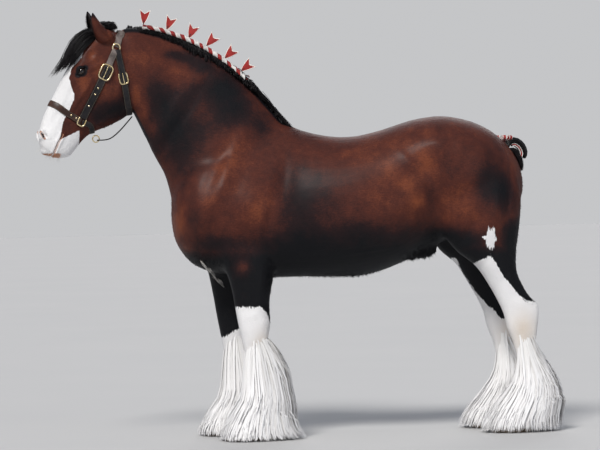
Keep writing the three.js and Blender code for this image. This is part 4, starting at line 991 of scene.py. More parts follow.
# Patches of the bay, partly its own seal brown and paler coat, partly painted shade and painted highlights:
# (x, z, reach along x, reach along z, how much darker), less than 0 is lighter
BAY_TONES_AND_PAINTED_LIGHT = [
    (-1035, 1710, 150, 180, 0.42), (-1167, 1975, 74, 104, 0.3), (-1099, 1843, 110, 130, 0.32),
    (-812, 1933, 125, 140, 0.38), (-680, 1850, 100, 92, 0.36), (-560, 1768, 70, 56, 0.3),
    (-1213, 2170, 103, 51, -0.1), (-995, 2091, 149, 57, -0.08), (-892, 1878, 52, 80, -0.2),
    (-1282, 1944, 29, 63, -0.26), (-1236, 1857, 29, 57, -0.28), (-1185, 1770, 34, 51, -0.22),
    (-1225, 1646, 52, 91, 0.25), (-709, 1674, 97, 91, -0.14), (-812, 1523, 80, 103, -0.17),
    (-886, 1353, 69, 80, -0.16), (-617, 1313, 74, 114, -0.14), (-370, 1313, 110, 228, 0.38),
    (-1047, 1220, 29, 114, -0.24), (-1001, 1082, 29, 51, -0.16), (-846, 1107, 126, 51, 0.36),
    (-629, 1080, 115, 68, 0.3), (-967, 1275, 34, 103, 0.16), (-170, 1394, 138, 137, 0.14),
    (-67, 1152, 355, 86, 0.2), (139, 1513, 52, 51, -0.18), (225, 1419, 52, 63, -0.24),
    (300, 1327, 46, 46, -0.2), (-107, 1587, 286, 63, -0.08), (369, 1325, 34, 90, 0.2),
    (346, 1565, 69, 125, -0.15), (380, 1724, 46, 63, -0.1), (713, 1414, 90, 110, 0.4),
    (787, 1338, 64, 110, 0.36), (552, 1252, 103, 103, -0.13), (850, 1519, 34, 86, -0.12),
    (609, 1092, 115, 57, 0.26), (438, 1095, 92, 68, 0.5), (-1534, 2177, 34, 46, -0.24),
    (-1580, 2030, 29, 57, -0.2), (-1488, 2097, 34, 46, -0.14), (-1454, 1959, 52, 51, -0.12),
    (-1395, 1876, 100, 60, 0.5), (-1334, 1956, 40, 103, 0.16), (-1488, 1834, 46, 46, 0.3),
    (-1517, 2268, 29, 51, -0.1), (-1064, 2180, 60, 24, 0.3), (-978, 2160, 70, 34, 0.34),
    (-892, 2112, 70, 40, 0.36), (-740, 1985, 90, 70, 0.3), (-960, 1960, 90, 60, 0.16),
]
LEG_BLACK = 1060  # the legs are black below this height, down to their white


def ramp_down(value, high, low):
    """1 below low and 0 above high, with a soft way between."""
    share = np.clip((high - value) / (high - low), 0, 1)
    return share * share * (3 - 2 * share)


def nostril_distance(p):
    x, y, z = p.T
    lean = (x - NOSTRIL[0]) + (z - NOSTRIL[2]) * 0.45
    inward = np.maximum(NOSTRIL[1] - 8 - np.abs(y), 0)
    return np.hypot(np.hypot(lean * 1.5, (z - NOSTRIL[2]) * 0.62), inward * 1.2)


def white_reach(p):
    """How far each point is inside the white, in millimetres, less than 0 outside it."""
    x, y, z = p.T
    heights, backs = np.array(FACE_EDGE).T
    face = np.interp(z, heights, backs) - x
    face = np.where(z > 2300, -WHITE_FADE, face)
    chin = np.minimum(1716 + (x + 1708) * 0.45 - z, -1600 - x)
    face = np.where(z < 1800, np.maximum(face, chin), face)
    reach = np.where((x < -1500) & (z > 1500), face, -WHITE_FADE)
    # No white inside the nostrils, where painted shade goes
    reach = np.where(nostril_distance(p) < 10, -WHITE_FADE, reach)
    for side in SIDES.values():
        for edge, low, high in ((FORE_EDGE, -1000, -450), (HIND_EDGE, 540, 1100)):
            zone = (y * side > 0) & (x > low) & (x < high) & (z < 1030)
            leg = np.interp(x, *np.array(edge[side]).T) - z
            reach = np.where(zone, np.maximum(reach, leg), reach)
    patch = 1 - np.hypot((x - 705) / 30, (z - 1100) / 60)
    lobe = 1 - np.hypot((x - 676) / 22, (z - 1108) / 11)
    thigh = np.where(y < 0, 28 * np.maximum(patch, lobe), -WHITE_FADE)
    return np.clip(np.maximum(reach, thigh), -WHITE_FADE, WHITE_FADE)


def darkness(p):
    """The depth of the bay: 0 is bright bay, 0.6 seal brown and 1 black, with painted shade and painted
    highlights among the coat's own shading.
    """
    x, y, z = p.T
    dark = np.full(len(x), PLAIN_BAY)
    for *place, amount in BAY_TONES_AND_PAINTED_LIGHT:
        dark += amount * swell(x, z, *place)
    # Darker towards the lower barrel and under the middle of the belly: painted shade under the body
    body = ramp_down(z, 1245, 975) * np.clip((x + 620) / 160, 0, 1) * np.clip((660 - x) / 160, 0, 1)
    dark += 0.66 * body
    under = ramp_down(np.abs(y), 120, 40) * ramp_down(z, 1300, 1000)
    dark += 0.3 * under * (x > -900)
    legs = ramp_down(z, LEG_BLACK + 90, LEG_BLACK - 70) * ((x < -480) | (x > 450))
    dark = np.maximum(dark, 1.06 * legs - 0.1 + 0.3 * (dark - PLAIN_BAY))
    dark -= 0.5 * swell(x, z, -703, 978, 52, 52) * (y < 0)
    rear = 0.95 * ramp_down(z, 1330, 1120) * np.clip((x - 700) / 120, 0, 1)
    sheath = ramp_down(np.hypot((x - 330) / 130, (z - 1030) / 60), 1.1, 0.7) * (np.abs(y) < 60)
    crest = ramp_down(np.abs(y), 46, 20) * ((x > -1330) & (x < -380) & (z > 1700))
    # The right ear is darkened all over as painted shade; the left ear darkens only near its tip, which is
    # its own black
    ear = np.clip((z - 2290) / 30, 0, 1) * (x > -1560) * (x < -1380)
    ear = ear * np.where(y > 0, 0.9, 0.35 + 0.5 * np.clip((z - 2380) / 30, 0, 1))
    # Black inside the nostrils and along the line of the mouth: painted shade in their hollows
    nostrils = ramp_down(nostril_distance(p), 13, 8)
    mouth = 0.8 * ramp_down(line_distance(x, z, MOUTH_LINE), 3.6, 1.2) * (x < -1690)
    for black in (rear, sheath, crest, ear, nostrils, mouth):
        dark = np.maximum(dark, black)
    for side in SIDES.values():
        a, b, _ = eye_frame(p, side)
        lid = ramp_down(lid_distance(a, b), 30, 6) * (y * side > 40)
        dark = np.maximum(dark, lid)
    return dark


def bareness(p):
    """Pink skin that shows on the lips and inside the nostrils."""
    x, _, z = p.T
    away = line_distance(x, z, MOUTH_LINE)
    lips = ramp_down(away, 9, 3) * (x < -1690)
    rim = ramp_down(nostril_distance(p), 21, 13)
    edge = ramp_down(z, 1648, 1630) * ramp_down(x, -1680, -1730)
    # No pink where the nostrils and the mouth line hold painted shade
    depth = np.maximum(ramp_down(nostril_distance(p), 13, 8), ramp_down(away, 3.6, 1.2))
    return np.maximum(np.maximum(lips, 0.8 * edge), 0.8 * rim) * (1 - depth)


def tan_tinge(p):
    """A warm tinge behind the knees and at the hocks."""
    x, _, z = p.T
    return np.maximum(swell(x, z, -590, 500, 60, 110), swell(x, z, 900, 560, 80, 110)) * 0.6


def write_markings(mesh, points):
    write_attribute(mesh, "white", white_reach(points) * MM)
    write_attribute(mesh, "ragged", np.where(points[:, 2] > 1500, 0.012, 0.045))
    write_attribute(mesh, "dark", darkness(points))
    write_attribute(mesh, "bare", bareness(points))
    write_attribute(mesh, "tinge", tan_tinge(points))


FLESH = ["torso", "neck", "head", "ear_left", "ear_right"]
FLESH += [f"{leg}_{part}" for leg in LEGS for part in ("upper", "lower")]
skin_mesh = joined_skin()
straight_skin = read_points(skin_mesh)
write_markings(skin_mesh, straight_skin)
skin_tree = BVHTree.FromPolygons(straight_skin.tolist(), [tuple(f.vertices) for f in skin_mesh.polygons])
write_points(skin_mesh, settle(straight_skin))
piece("skin", skin_mesh, skin_finish(), "bay_coat", *FLESH)


# Hair: strands that are thin, flat and tapered, in locks that draw together towards their tips
STRAND_SIDES = 3
BLUNT_ROOT = 0.25  # how far along its taper a strand starts
PATCH = 0.003  # the size of a strand's patch on the coat's own map
PATCH_ROOM = 0.995  # the share of that map for the places of the roots
MAP_FRONT, MAP_LONG, MAP_TALL = -1900, 3100, 2600  # what that map covers of the side view
STRAY = 1.8  # a strand strays at most this many times the spread of its lock


def body_uv(points):
    """Where a root lies on the skin laid out flat: the left side below and the right side above."""
    x, y, z = points.T
    half = np.clip(z / MAP_TALL, 0, 1) * 0.49 + np.where(y > 0, 0.505, 0)
    return np.stack([np.clip((x - MAP_FRONT) / MAP_LONG, 0, 1), half], -1)


def tube_quads(rings, sides):
    """The quads between the rings of a tube, as numbers of its points."""
    return [
        (r * sides + i, r * sides + (i + 1) % sides, (r + 1) * sides + (i + 1) % sides, (r + 1) * sides + i)
        for r in range(rings - 1) for i in range(sides)
    ]


def strand_mesh(name, paths, outward, width, thick, root_uv, soft):
    """paths (strand, step, xyz) on the straight animal; width and thick are half sizes of each strand."""
    n, m, _ = paths.shape
    sides = STRAND_SIDES
    run = unit(np.gradient(paths, axis=1))
    if outward.ndim == 2:
        outward = np.repeat(outward[:, None], m, 1)
    flat = unit(outward - np.sum(outward * run, -1, keepdims=True) * run)
    across = np.cross(run, flat)
    t = np.linspace(0, 1, m)
    taper = np.clip(np.sin(math.pi * (BLUNT_ROOT + (1 - BLUNT_ROOT) * t) ** 1.1), 0, 1) ** 0.7
    turn = np.arange(sides) * TURN / sides
    wide, deep = (half.reshape(-1, 1, 1, 1) * taper[None, :-1, None, None] for half in (width, thick))
    rings = (
        paths[:, :-1, None]
        + across[:, :-1, None] * wide * np.cos(turn)[None, None, :, None]
        + flat[:, :-1, None] * deep * np.sin(turn)[None, None, :, None]
    )
    each = (m - 1) * sides + 1
    points = np.concatenate([rings.reshape(n, -1, 3), paths[:, -1:]], 1).reshape(-1, 3)
    last_ring = (m - 2) * sides
    tips = [(last_ring + i, last_ring + (i + 1) % sides, each - 1) for i in range(sides)]
    root = [tuple(reversed(range(sides)))]
    faces = []
    for shape in (tube_quads(m - 1, sides), tips, root):
        block = np.array(shape)[None] + (np.arange(n) * each)[:, None, None]
        faces += list(map(tuple, block.reshape(-1, block.shape[-1]).tolist()))
    mesh = bpy.data.meshes.new(name)
    mesh.from_pydata(settle(points).tolist(), [], faces)
    if soft:
        smooth(mesh)
    steps_uv, sides_uv = np.arange(m - 1) / m, np.arange(sides) / sides
    ring_uv = np.stack(np.meshgrid(steps_uv, sides_uv, indexing="ij"), -1).reshape(-1, 2)
    local = np.vstack([ring_uv, [[1, 0.5]]]) * PATCH
    uv = (root_uv[:, None] * PATCH_ROOM + local[None]).reshape(-1, 2)
    loops = np.empty(len(mesh.loops), int)
    mesh.loops.foreach_get("vertex_index", loops)
    mesh.uv_layers.new(name="OFBake").data.foreach_set("uv", uv[loops].ravel())
    along_strand = np.concatenate([np.repeat(t[:-1], sides), [1]])
    write_attribute(mesh, "run", np.tile(along_strand, n))
    return mesh, each, points


def hair_piece(name, paths, outward, width, thick, material, slot, *nodes, rng, root_uv=None, marked=False,
               soft=True):
    """A piece of strands along paths, each with its own tone and its patch on the coat's own map."""
    if root_uv is None:
        root_uv = body_uv(paths[:, 0])
    mesh, each, points = strand_mesh(name, paths, outward, width, thick, root_uv, soft)
    write_attribute(mesh, "tone", np.repeat(rng.random(len(paths)), each))
    if marked:
        write_markings(mesh, np.repeat(paths[:, 0], each, axis=0))
    else:
        write_attribute(mesh, "tinge", tan_tinge(points))
    piece(name, mesh, material, slot, *nodes)


def locks_of(guides, per, spread, rng, gather, wave, least=0.86):
    """Strands round each guide path that draw together towards the tip, with a slight wave."""
    count, m, _ = guides.shape
    t = np.linspace(0, 1, m)[None, None, :, None]
    offset = np.clip(rng.normal(0, 1, (count, per, 1, 3)), -STRAY, STRAY) * np.array(spread)
    phase = rng.random((count, per, 1, 3)) * TURN
    curl = np.sin(phase + t * TURN * (0.8 + 0.5 * rng.random((count, per, 1, 1)))) * wave * t
    paths = guides[:, None] + offset * (1 - gather * t) + curl
    length = least + (1 - least) * rng.random((count, per, 1, 1))
    paths = guides[:, None, :1] + (paths - guides[:, None, :1]) * (1 - t * (1 - length))
    return paths.reshape(count * per, m, 3)


def feather_rows(rows, feather):
    """Sections of the hanging feather round a leg's middle line, from the knee or hock to the floor."""
    middle_z = (rows[:, 1] + rows[:, 3]) / 2
    middle_x = (rows[:, 0] + rows[:, 2]) / 2
    made = []
    for z, front, side, rear in feather:
        x = np.interp(-z, -middle_z, middle_x)
        if z < middle_z[-1]:
            slope = (middle_x[-1] - middle_x[-2]) / (middle_z[-2] - middle_z[-1])
            x = middle_x[-1] + slope * min(middle_z[-1] - z, 0.6 * (middle_z[-2] - middle_z[-1]))
        y = np.interp(-z, -middle_z, rows[:, 8])
        made.append((x - front, z, x + rear, z, side, front / (front + rear), 2, 2, y))
    return np.array(made)


# Tiers of the feather: where its locks start and end on the skirt, how many, how far round from the rear,
# their least and greatest reach, and the half width of a strand
FEATHER_TIERS = [
    (0.08, 0.98, 44, 1.0, 0.62, 0.74, 15.0), (0.46, 1.02, 160, 1.0, 0.88, 0.99, 6.8),
    (0.24, 1.02, 124, 1.0, 0.82, 0.97, 7.0), (0.08, 0.96, 90, 0.94, 0.86, 0.97, 7.0),
    (-0.03, 0.74, 72, 0.7, 0.9, 0.99, 6.4),
]
FEATHER_STRANDS = 9  # of each lock
FEATHER_ROOT = 0.34  # the share of the skirt's reach from which the locks grow


def feather(leg, rows, outline, seed):
    rng = np.random.default_rng(seed)
    skirt = feather_rows(rows, outline)
    steps = np.linspace(0, 1, 8)[None]
    guides, outs, widths = [], [], []
    for start, end, count, spread, low, high, wide in FEATHER_TIERS:
        angle = math.pi + spread * math.pi * (2 * rng.random(count) - 1)
        begin = start + 0.16 * rng.random(count) * (1 - start)
        finish = np.minimum(end - 0.07 * rng.random(count) ** 1.5, 1.0)
        reach = low + (high - low) * rng.random(count) ** 0.5
        place = begin[:, None] + (finish - begin)[:, None] * steps
        drift = 0.16 * (rng.random(count) - 0.5)
        flare = 1.5 + 1.1 * np.clip(-np.cos(angle), 0, 1)[:, None]
        out = FEATHER_ROOT + (reach[:, None] - FEATHER_ROOT) * np.minimum(steps * flare, 1) ** 0.75
        swing = angle[:, None] + drift[:, None] * steps
        guides.append(on_section(along(skirt, place), swing, out))
        outs.append(vectors(-np.cos(angle), np.sin(angle), 0.3))
        widths.append(np.full(count, wide))
    guides = np.concatenate(guides)
    paths = locks_of(guides, FEATHER_STRANDS, (13, 13, 10), rng, 0.12, 1.6)
    paths[..., 2] = np.maximum(paths[..., 2], 1.5)
    outward = np.repeat(np.concatenate(outs), FEATHER_STRANDS, 0) + rng.normal(0, 0.09, (len(paths), 3))
    width = np.repeat(np.concatenate(widths), FEATHER_STRANDS) * (0.75 + 0.5 * rng.random(len(paths)))
    x, y, z = paths[:, 0].T
    middle = np.interp(-z, -skirt[:, 1], (skirt[:, 0] + skirt[:, 2]) / 2)
    round_leg = np.arctan2(y - skirt[0, 8], x - middle) / TURN + 0.5
    root_uv = np.stack([round_leg, np.clip(z / 700, 0, 1)], -1)
    hair_piece(leg + "_feather", paths, outward, width, width * 0.07, WHITE_HAIR, "white_hair", rng=rng,
               root_uv=root_uv, soft=False)


for number, (leg, (rows, outline)) in enumerate(LEGS.items()):
    feather(leg, rows, outline, 100 + number)


def knot_rows(*knots):
    """Knots of many guide paths (guide, knot, xyz), each given by its x, y and z."""
    return np.stack([vectors(*knot) for knot in knots], 1)


def lock_piece(name, knots, facing, rng, *nodes, steps, per, spread, gather, wave, wide, least=0.86,
               ruffle=0.25, flat=0.5):
    """Black locks on smooth guide paths through rows of knots, with the strands' faces towards facing."""
    rows = np.moveaxis(knots, 1, 0)
    guides = along(rows.reshape(len(rows), -1), np.linspace(0, 1, steps)).reshape(steps, -1, 3)
    paths = locks_of(np.moveaxis(guides, 0, 1), per, spread, rng, gather, wave, least)
    outward = np.repeat(np.broadcast_to(vectors(*facing), (len(knots), 3)), per, 0)
    outward = outward + rng.normal(0, ruffle, outward.shape)
    width = wide * (0.7 + 0.6 * rng.random(len(paths)))
    hair_piece(name, paths, outward, width, width * flat, BLACK_HAIR, "black_hair", *nodes, rng=rng)


def forelock():
    """A thick forelock that blows forward off the face, with thin tips."""
    rng = np.random.default_rng(11)
    count = 96
    side = rng.uniform(-1, 1, count)
    lift = np.maximum(rng.uniform(0, 1, count), 0.42 * (1 - abs(side)))
    wisp = rng.uniform(0, 1, count) ** 1.3
    back = rng.uniform(-10, 22, count)
    low = 1 - lift
    tip_x = -1680 - 24 * lift - 66 * wisp * lift - 20 * wisp
    knots = knot_rows(
        (-1474 + back, side * 36, 2296),
        (-1532 - 14 * lift, side * (60 + 26 * low), 2242 + 86 * lift),
        (-1616 - 8 * lift, side * (60 + 52 * low), 2158 + 112 * lift),
        (-1656 - 18 * lift - 8 * wisp, side * (54 + 46 * low), 2116 + 66 * lift - 20 * wisp),
        (tip_x, side * (46 + 36 * low), 2090 + 40 * lift - 104 * wisp),
    )
    keep = (0.1 + 0.9 * lift)[:, None]
    tip = (knots[:, 4] - knots[:, 3]) * (0.3 + 0.7 * keep)
    knots[:, 3] = knots[:, 2] + (knots[:, 3] - knots[:, 2]) * keep
    knots[:, 4] = knots[:, 3] + tip
    lock_piece("forelock", knots, (-0.8, side * (0.5 + 0.6 * low), 0.5), rng,
               steps=9, per=12, spread=(7, 8, 7), gather=0.72, wave=4.0, wide=2.4)


def poll_tuft():
    """A rounded tuft of mane between the ears and the crown strap."""
    rng = np.random.default_rng(23)
    count = 54
    side = rng.uniform(-1, 1, count)
    back = rng.uniform(-4, 60, count)
    high = rng.uniform(0.7, 1.0, count)
    knots = knot_rows(
        (-1466 + back, side * 30, 2304),
        (-1466 + back * 0.9, side * 36, 2324 + 38 * high),
        (-1434 + back * 0.8, side * 44, 2330 + 46 * high - 12 * abs(side)),
        (-1396 + back * 0.5, side * 50, 2322 + 26 * high - 22 * abs(side)),
    )
    lock_piece("poll_tuft", knots, (0, side * 0.4, 1), rng,
               steps=7, per=12, spread=(6, 7, 4), gather=0.35, wave=1.5, wide=2.6, ruffle=0.2)


def mane():
    """The mane hangs on the right side, from behind the crown strap to the withers."""
    rng = np.random.default_rng(5)
    count = 150
    u = 0.04 + 0.92 * rng.random(count)
    x, _, z = along(CREST, u).T
    long = 300 * rng.uniform(0.72, 1.12, count) * (1 - 0.35 * u)
    back = 20 + 50 * rng.random(count) + 90 * u
    out = along(NECK, u * 0.8 + 0.1)[:, 4]
    layer = rng.uniform(0, 22, count)
    knots = knot_rows(
        (x, 2, z - 24),
        (x + 8, 24 + layer, z + 2 + layer * 0.3),
        (x + back * 0.3, out * 0.72 + 8 + layer, z - long * 0.3),
        (x + back * 0.7, out + 12 + layer, z - long * 0.65),
        (x + back, out + 16 + layer, z - long),
    )
    lock_piece("mane", knots, (0, 0.9, 0.35), rng,
               steps=9, per=13, spread=(10, 4, 6), gather=0.6, wave=5.0, wide=3.2, flat=0.45)


def mane_end():
    """Loose hair behind the roll lies back over the withers."""
    rng = np.random.default_rng(8)
    count = 64
    x, _, z = along(CREST, rng.uniform(0.66, 0.97, count)).T
    side = rng.uniform(-1, 1, count)
    long = rng.uniform(110, 185, count)
    knots = knot_rows(
        (x - 20, side * 10, z - 26),
        (x + 16, side * 20, z + 6),
        (x + long * 0.5, side * 28, z - long * 0.47),
        (x + long * 0.9, side * 36, z - long * 0.86),
    )
    lock_piece("mane_end", knots, (0.6, side * 0.5, 0.8), rng,
               steps=7, per=12, spread=(7, 6, 5), gather=0.6, wave=5.0, wide=3.0, ruffle=0.3, flat=0.45)


def drawn_up():
    """Short hair of the near side, drawn up into the roll."""
    rng = np.random.default_rng(14)
    count = 240
    u = rng.uniform(0.08, 0.8, count)
    x, _, z = along(CREST, u).T
    drop = rng.uniform(8, 46, count) * (0.35 + 0.9 * bell(u, 0.42, 0.2))
    lean = rng.uniform(6, 40, count)
    out = along(NECK, u * 0.8 + 0.1)[:, 4]
    knots = knot_rows(
        (x + lean, -out * 0.30 - drop * 0.24, z - drop * 1.1 - 10),
        (x + lean * 0.7, -out * 0.22 - drop * 0.2 - 12, z - drop * 0.7),
        (x + lean * 0.3, -34, z - drop * 0.2),
        (x, -34, z + 6),
    )
    lock_piece("mane_drawn_up", knots, (0, -0.9, 0.4), rng,
               steps=6, per=5, spread=(9, 3, 7), gather=0.2, wave=0.6, wide=2.6, least=0.7,
               ruffle=0.3, flat=0.4)


forelock()
poll_tuft()
mane()
mane_end()
drawn_up()


def dock_hair():
    """Short hair of the docked tail, which hangs close behind the buttocks."""
    rng = np.random.default_rng(41)
    count = 70
    side = rng.uniform(-1, 1, count)
    out = rng.uniform(0, 1, count)
    long = rng.uniform(0.8, 1.0, count)
    knots = knot_rows(
        (850, side * 22, 1588 + 10 * out),
        (888 + 24 * out, side * 32, 1604 - 8 * abs(side)),
        (926 + 18 * out, side * 34, 1548 - 10 * abs(side)),
        (938 + 12 * out, side * 24, 1556 - 84 * long),
    )
    lock_piece("dock_hair", knots, (0.9, side * 0.5, 0.3), rng, "tail_dock",
               steps=8, per=11, spread=(5, 6, 5), gather=0.6, wave=2.5, wide=2.4)


def fold_frame(t):
    """Points of the fold of tail hair and the way out of it."""
    run = unit(along(FOLD, t + 0.02) - along(FOLD, t - 0.02))
    return along(FOLD, t), vectors(-run[..., 2], 0, run[..., 0])


def tail_bun():
    """Long tail hair folded over into a smooth bun."""
    rng = np.random.default_rng(43)
    count, steps = 640, 12
    t = np.linspace(0.0, 1.0, steps)[None] * rng.uniform(0.93, 1.0, (count, 1))
    side = rng.uniform(-1, 1, (count, 1))
    turn = rng.uniform(0, TURN, (count, 1))
    deep = 17 * rng.uniform(0.5, 1, (count, 1)) * (1 - 0.35 * side**2)
    point, out = fold_frame(t)
    tuck = np.sin(math.pi * np.clip(t * 0.92 + 0.08, 0, 1)) ** 0.4
    rise = deep * np.sin(turn + 1.2 * t) * tuck + 3 - 8 * side**2
    wide = (side * 33 * (1 - 0.3 * t) + 8 * np.cos(turn + 1.2 * t)) * (0.75 + 0.25 * tuck)
    paths = point + out * rise[..., None] + vectors(0, wide, 0)
    outward = out[:, steps // 2] * np.sign(np.sin(turn)) + vectors(0, np.sign(side[:, 0]) * 0.5, 0)
    width = 2.6 * rng.uniform(0.7, 1.3, count)
    hair_piece("tail_bun_hair", paths, outward, width, width * 0.5, BLACK_HAIR, "black_hair", "tail_bun",
               rng=rng)


# Straps and ribbons
RIBBON_SIDES = 12
BESIDE = 260  # rays to the skin of the head start this far out


def strap_attributes(mesh, length, across):
    write_attribute(mesh, "along_strap", length)
    write_attribute(mesh, "across_strap", across)


def ribbon_mesh(name, line, outward, width, thick, round_edge=0.4):
    """A flat band along a line of points, with its face towards outward and rounded edges."""
    n, sides = len(line), RIBBON_SIDES
    run = unit(np.gradient(line, axis=0))
    out = unit(outward - np.sum(outward * run, -1, keepdims=True) * run)
    across = np.cross(run, out)
    width = np.broadcast_to(width, n)
    angle = np.arange(sides) * TURN / sides
    edge = power(np.cos(angle), round_edge)
    a = edge[None, :, None] * across[:, None] * (width / 2)[:, None, None]
    b = power(np.sin(angle), 0.8)[None, :, None] * out[:, None] * (thick / 2)
    points = (line[:, None] + a + b).reshape(-1, 3)
    ends = [tuple(reversed(range(sides))), tuple(range((n - 1) * sides, n * sides))]
    mesh = bpy.data.meshes.new(name)
    mesh.from_pydata(settle(points).tolist(), [], tube_quads(n, sides) + ends)
    smooth(mesh)
    length = np.concatenate([[0], np.cumsum(np.linalg.norm(np.diff(line, axis=0), axis=1))]) * MM
    strap_attributes(mesh, np.repeat(length, sides), np.tile(edge, n))
    return mesh


def ribbon_piece(name, line, outward, width, thick, finish, slot, *nodes, **shape):
    piece(name, ribbon_mesh(name, line, outward, width, thick, **shape), finish, slot, *nodes)


def on_skin(x, z, side, beside=BESIDE):
    """The outermost point of the skin at a place in the side view, or None where there is none."""
    return skin_tree.ray_cast(Vector((x, side * beside, z)), Vector((0, -side, 0)))[0]


def ribbon_loop(start, way, up, reach, half):
    """A loop of ribbon that leaves start and comes back to it, and the way out of its face."""
    turn = np.linspace(0, TURN, 22)[:, None]
    line = start + way * (reach * np.sin(turn / 2)) + up * (half * np.sin(turn))
    return line, unit(up * np.cos(turn) + way * np.sin(turn / 2) + 1e-3)


def tail_ribbons():
    """Three ribbons under the fold of hair."""
    line, out = fold_frame(np.linspace(0.24, 0.96, 26))
    bands = (
        (17, WHITE_RIBBON, "white_ribbon", ()), (23, RED_RIBBON, "red_cloth", ("tail_band",)),
        (29, WHITE_RIBBON, "white_ribbon", ()),
    )
    for number, (drop, finish, slot, nodes) in enumerate(bands, 1):
        ribbon_piece(f"tail_ribbon_{number}", line - out * drop, out, 62, 6.4, finish, slot, *nodes)


def tail_bow():
    """Loops of edged ribbon on both sides of a knot, ahead of the fold."""
    knot = np.array((842, 0, 1650))
    number = 0
    for shift, lean in ((-36, -0.5), (0, 0.0), (36, 0.45)):
        for side in SIDES.values():
            number += 1
            way = unit(np.array((lean, side * 0.9, 0.8)))
            up = unit(np.cross(way, (1, 0, 0)) * side * -1)
            loop = ribbon_loop(knot + np.array((shift, 0, 0)) * 0.6, way, up, 46, 13)
            ribbon_piece(f"bow_loop_{number}", *loop, 20, 2.0, BOW_RIBBON, "red_cloth",
                         *(["tail_bow"] if number == 1 else []), round_edge=0.5)
    # The knot is dark red cloth: painted shade between and under the loops
    bm = bmesh.new()
    ball(bm, (846, 0, 1648), (24, 17, 17))
    mesh = mesh_of(bm, "bow_knot")
    points = read_points(mesh)
    strap_attributes(mesh, np.zeros(len(points)), points[:, 1] / 15)
    write_points(mesh, settle(points))
    piece("bow_knot", mesh, SHADED_KNOT_CLOTH, "red_cloth")


def strap_line(way, steps=64, lift=3.0):
    """Points on the skin under a strap's way, each a pair of a point outside and one inside the head."""
    u = np.linspace(0, 1, steps)
    outer = along([a for a, _ in way], u)
    inner = along([b for _, b in way], u)
    outs = unit(outer - inner)
    hits = []
    for start, end, out in zip(outer, inner, outs):
        hit = skin_tree.ray_cast(Vector(start), Vector(-out))[0]
        hits.append(np.array(hit) if hit is not None else end)
    line = np.array(hits) + outs * lift
    for _ in range(4):
        line[1:-1] = 0.5 * line[1:-1] + 0.25 * (line[:-2] + line[2:])
    return line, outs


def side_of(x, z, side):
    return (x, side * BESIDE, z), (x, 0, z)


def mirrored(way):
    far = [tuple((x, -y, z) for x, y, z in pair) for pair in way[:-1]]
    return way + far[::-1]


CROWN_WAY = mirrored([
    side_of(-1386, 2226, LEFT), side_of(-1362, 2285, LEFT), ((-1350, -150, 2450), (-1350, 0, 2250)),
    ((-1345, 0, 2500), (-1345, 0, 2200)),
])
NOSE_WAY = mirrored([
    side_of(-1592, 1812, LEFT), side_of(-1672, 1860, LEFT), ((-1800, -160, 1945), (-1690, 0, 1880)),
    ((-1920, 0, 2010), (-1700, 0, 1885)),
])
THROAT_WAY = mirrored([
    side_of(-1384, 2212, LEFT), side_of(-1362, 2100, LEFT), side_of(-1340, 1985, LEFT),
    side_of(-1322, 1890, LEFT), ((-1290, -140, 1700), (-1320, 0, 1930)), ((-1280, 0, 1600), (-1320, 0, 1930)),
])
JAW_CORE = (-1536, 0, 1812)
CHIN_WAY = mirrored([
    side_of(-1586, 1806, LEFT), ((-1530, -230, 1740), (-1550, 0, 1808)), ((-1512, -150, 1650), JAW_CORE),
    ((-1495, -60, 1600), JAW_CORE), ((-1490, 0, 1590), JAW_CORE),
])


WIRE_SIDES = 10
# Rings and buckles of each cheek: (kind, x, z, radius, wire, stretch, lean, bars, squareness of the corners)
# A bar is (low end, high end, place, thickness), the first three as shares of the frame
FITTINGS = (
    ("ring_", -1388, 2222, 21, 4.6, 1.1, 0.3, (), 1.0),
    ("square_", -1590, 1812, 21, 4.4, 1.15, 0.45, (), 0.5),
    ("buckle_cheek_", -1455, 2085, 33, 4.4, 1.3, 0.45, ((-1, 0.9, 0, 2.2),), 0.55),
    ("buckle_throat_", -1352, 2050, 24, 4.0, 1.35, -0.2, ((-1, 0.9, 0, 2.6),), 0.55),
)
STUDS = ((-1500, 1996), (-1517, 1962), (-1550, 1898), (-1622, 1832), (-1650, 1848))


def frame_mesh(name, side, x, z, radius, wire, stretch, lean, bars, square):
    """A ring or buckle that lies on the skin: a rounded frame of wire with its bars."""
    centre = np.array(on_skin(x, z, side)) + np.array((0, side * 7.0, 0))
    up = np.array((math.sin(lean), 0, math.cos(lean)))
    ahead = np.array((math.cos(lean), 0, -math.sin(lean)))
    out = np.array((0, side, 0))
    turn = np.linspace(0, TURN, 49)[:-1]
    frame_line = centre + ahead * (radius * power(np.cos(turn), square))[:, None]
    frame_line = frame_line + up * (radius * stretch * power(np.sin(turn), square))[:, None]
    bm = bmesh.new()

    def rod(line, thick, closed):
        line = np.asarray(line, float)
        run = np.roll(line, -1, 0) - np.roll(line, 1, 0) if closed else np.gradient(line, axis=0)
        run = unit(run)
        flat = np.cross(run, out)
        angle = np.arange(WIRE_SIDES) * TURN / WIRE_SIDES
        rings = [
            [bm.verts.new(p + (f * math.cos(t) + out * math.sin(t) * 0.8) * thick) for t in angle]
            for p, f in zip(line, flat)
        ]
        pairs = list(zip(rings, rings[1:])) + ([(rings[-1], rings[0])] if closed else [])
        for first, second in pairs:
            for i in range(WIRE_SIDES):
                after = (i + 1) % WIRE_SIDES
                bm.faces.new((first[i], first[after], second[after], second[i]))
        if not closed:
            bm.faces.new(rings[0][::-1])
            bm.faces.new(rings[-1])

    rod(frame_line, wire, True)
    for low, high, place, thick in bars:
        ends = np.linspace(low, high, 6)[:, None]
        rod(centre + up * ends * radius * stretch + ahead * place * radius + out * 2.5, thick, False)
    return settled_mesh(bm, name)


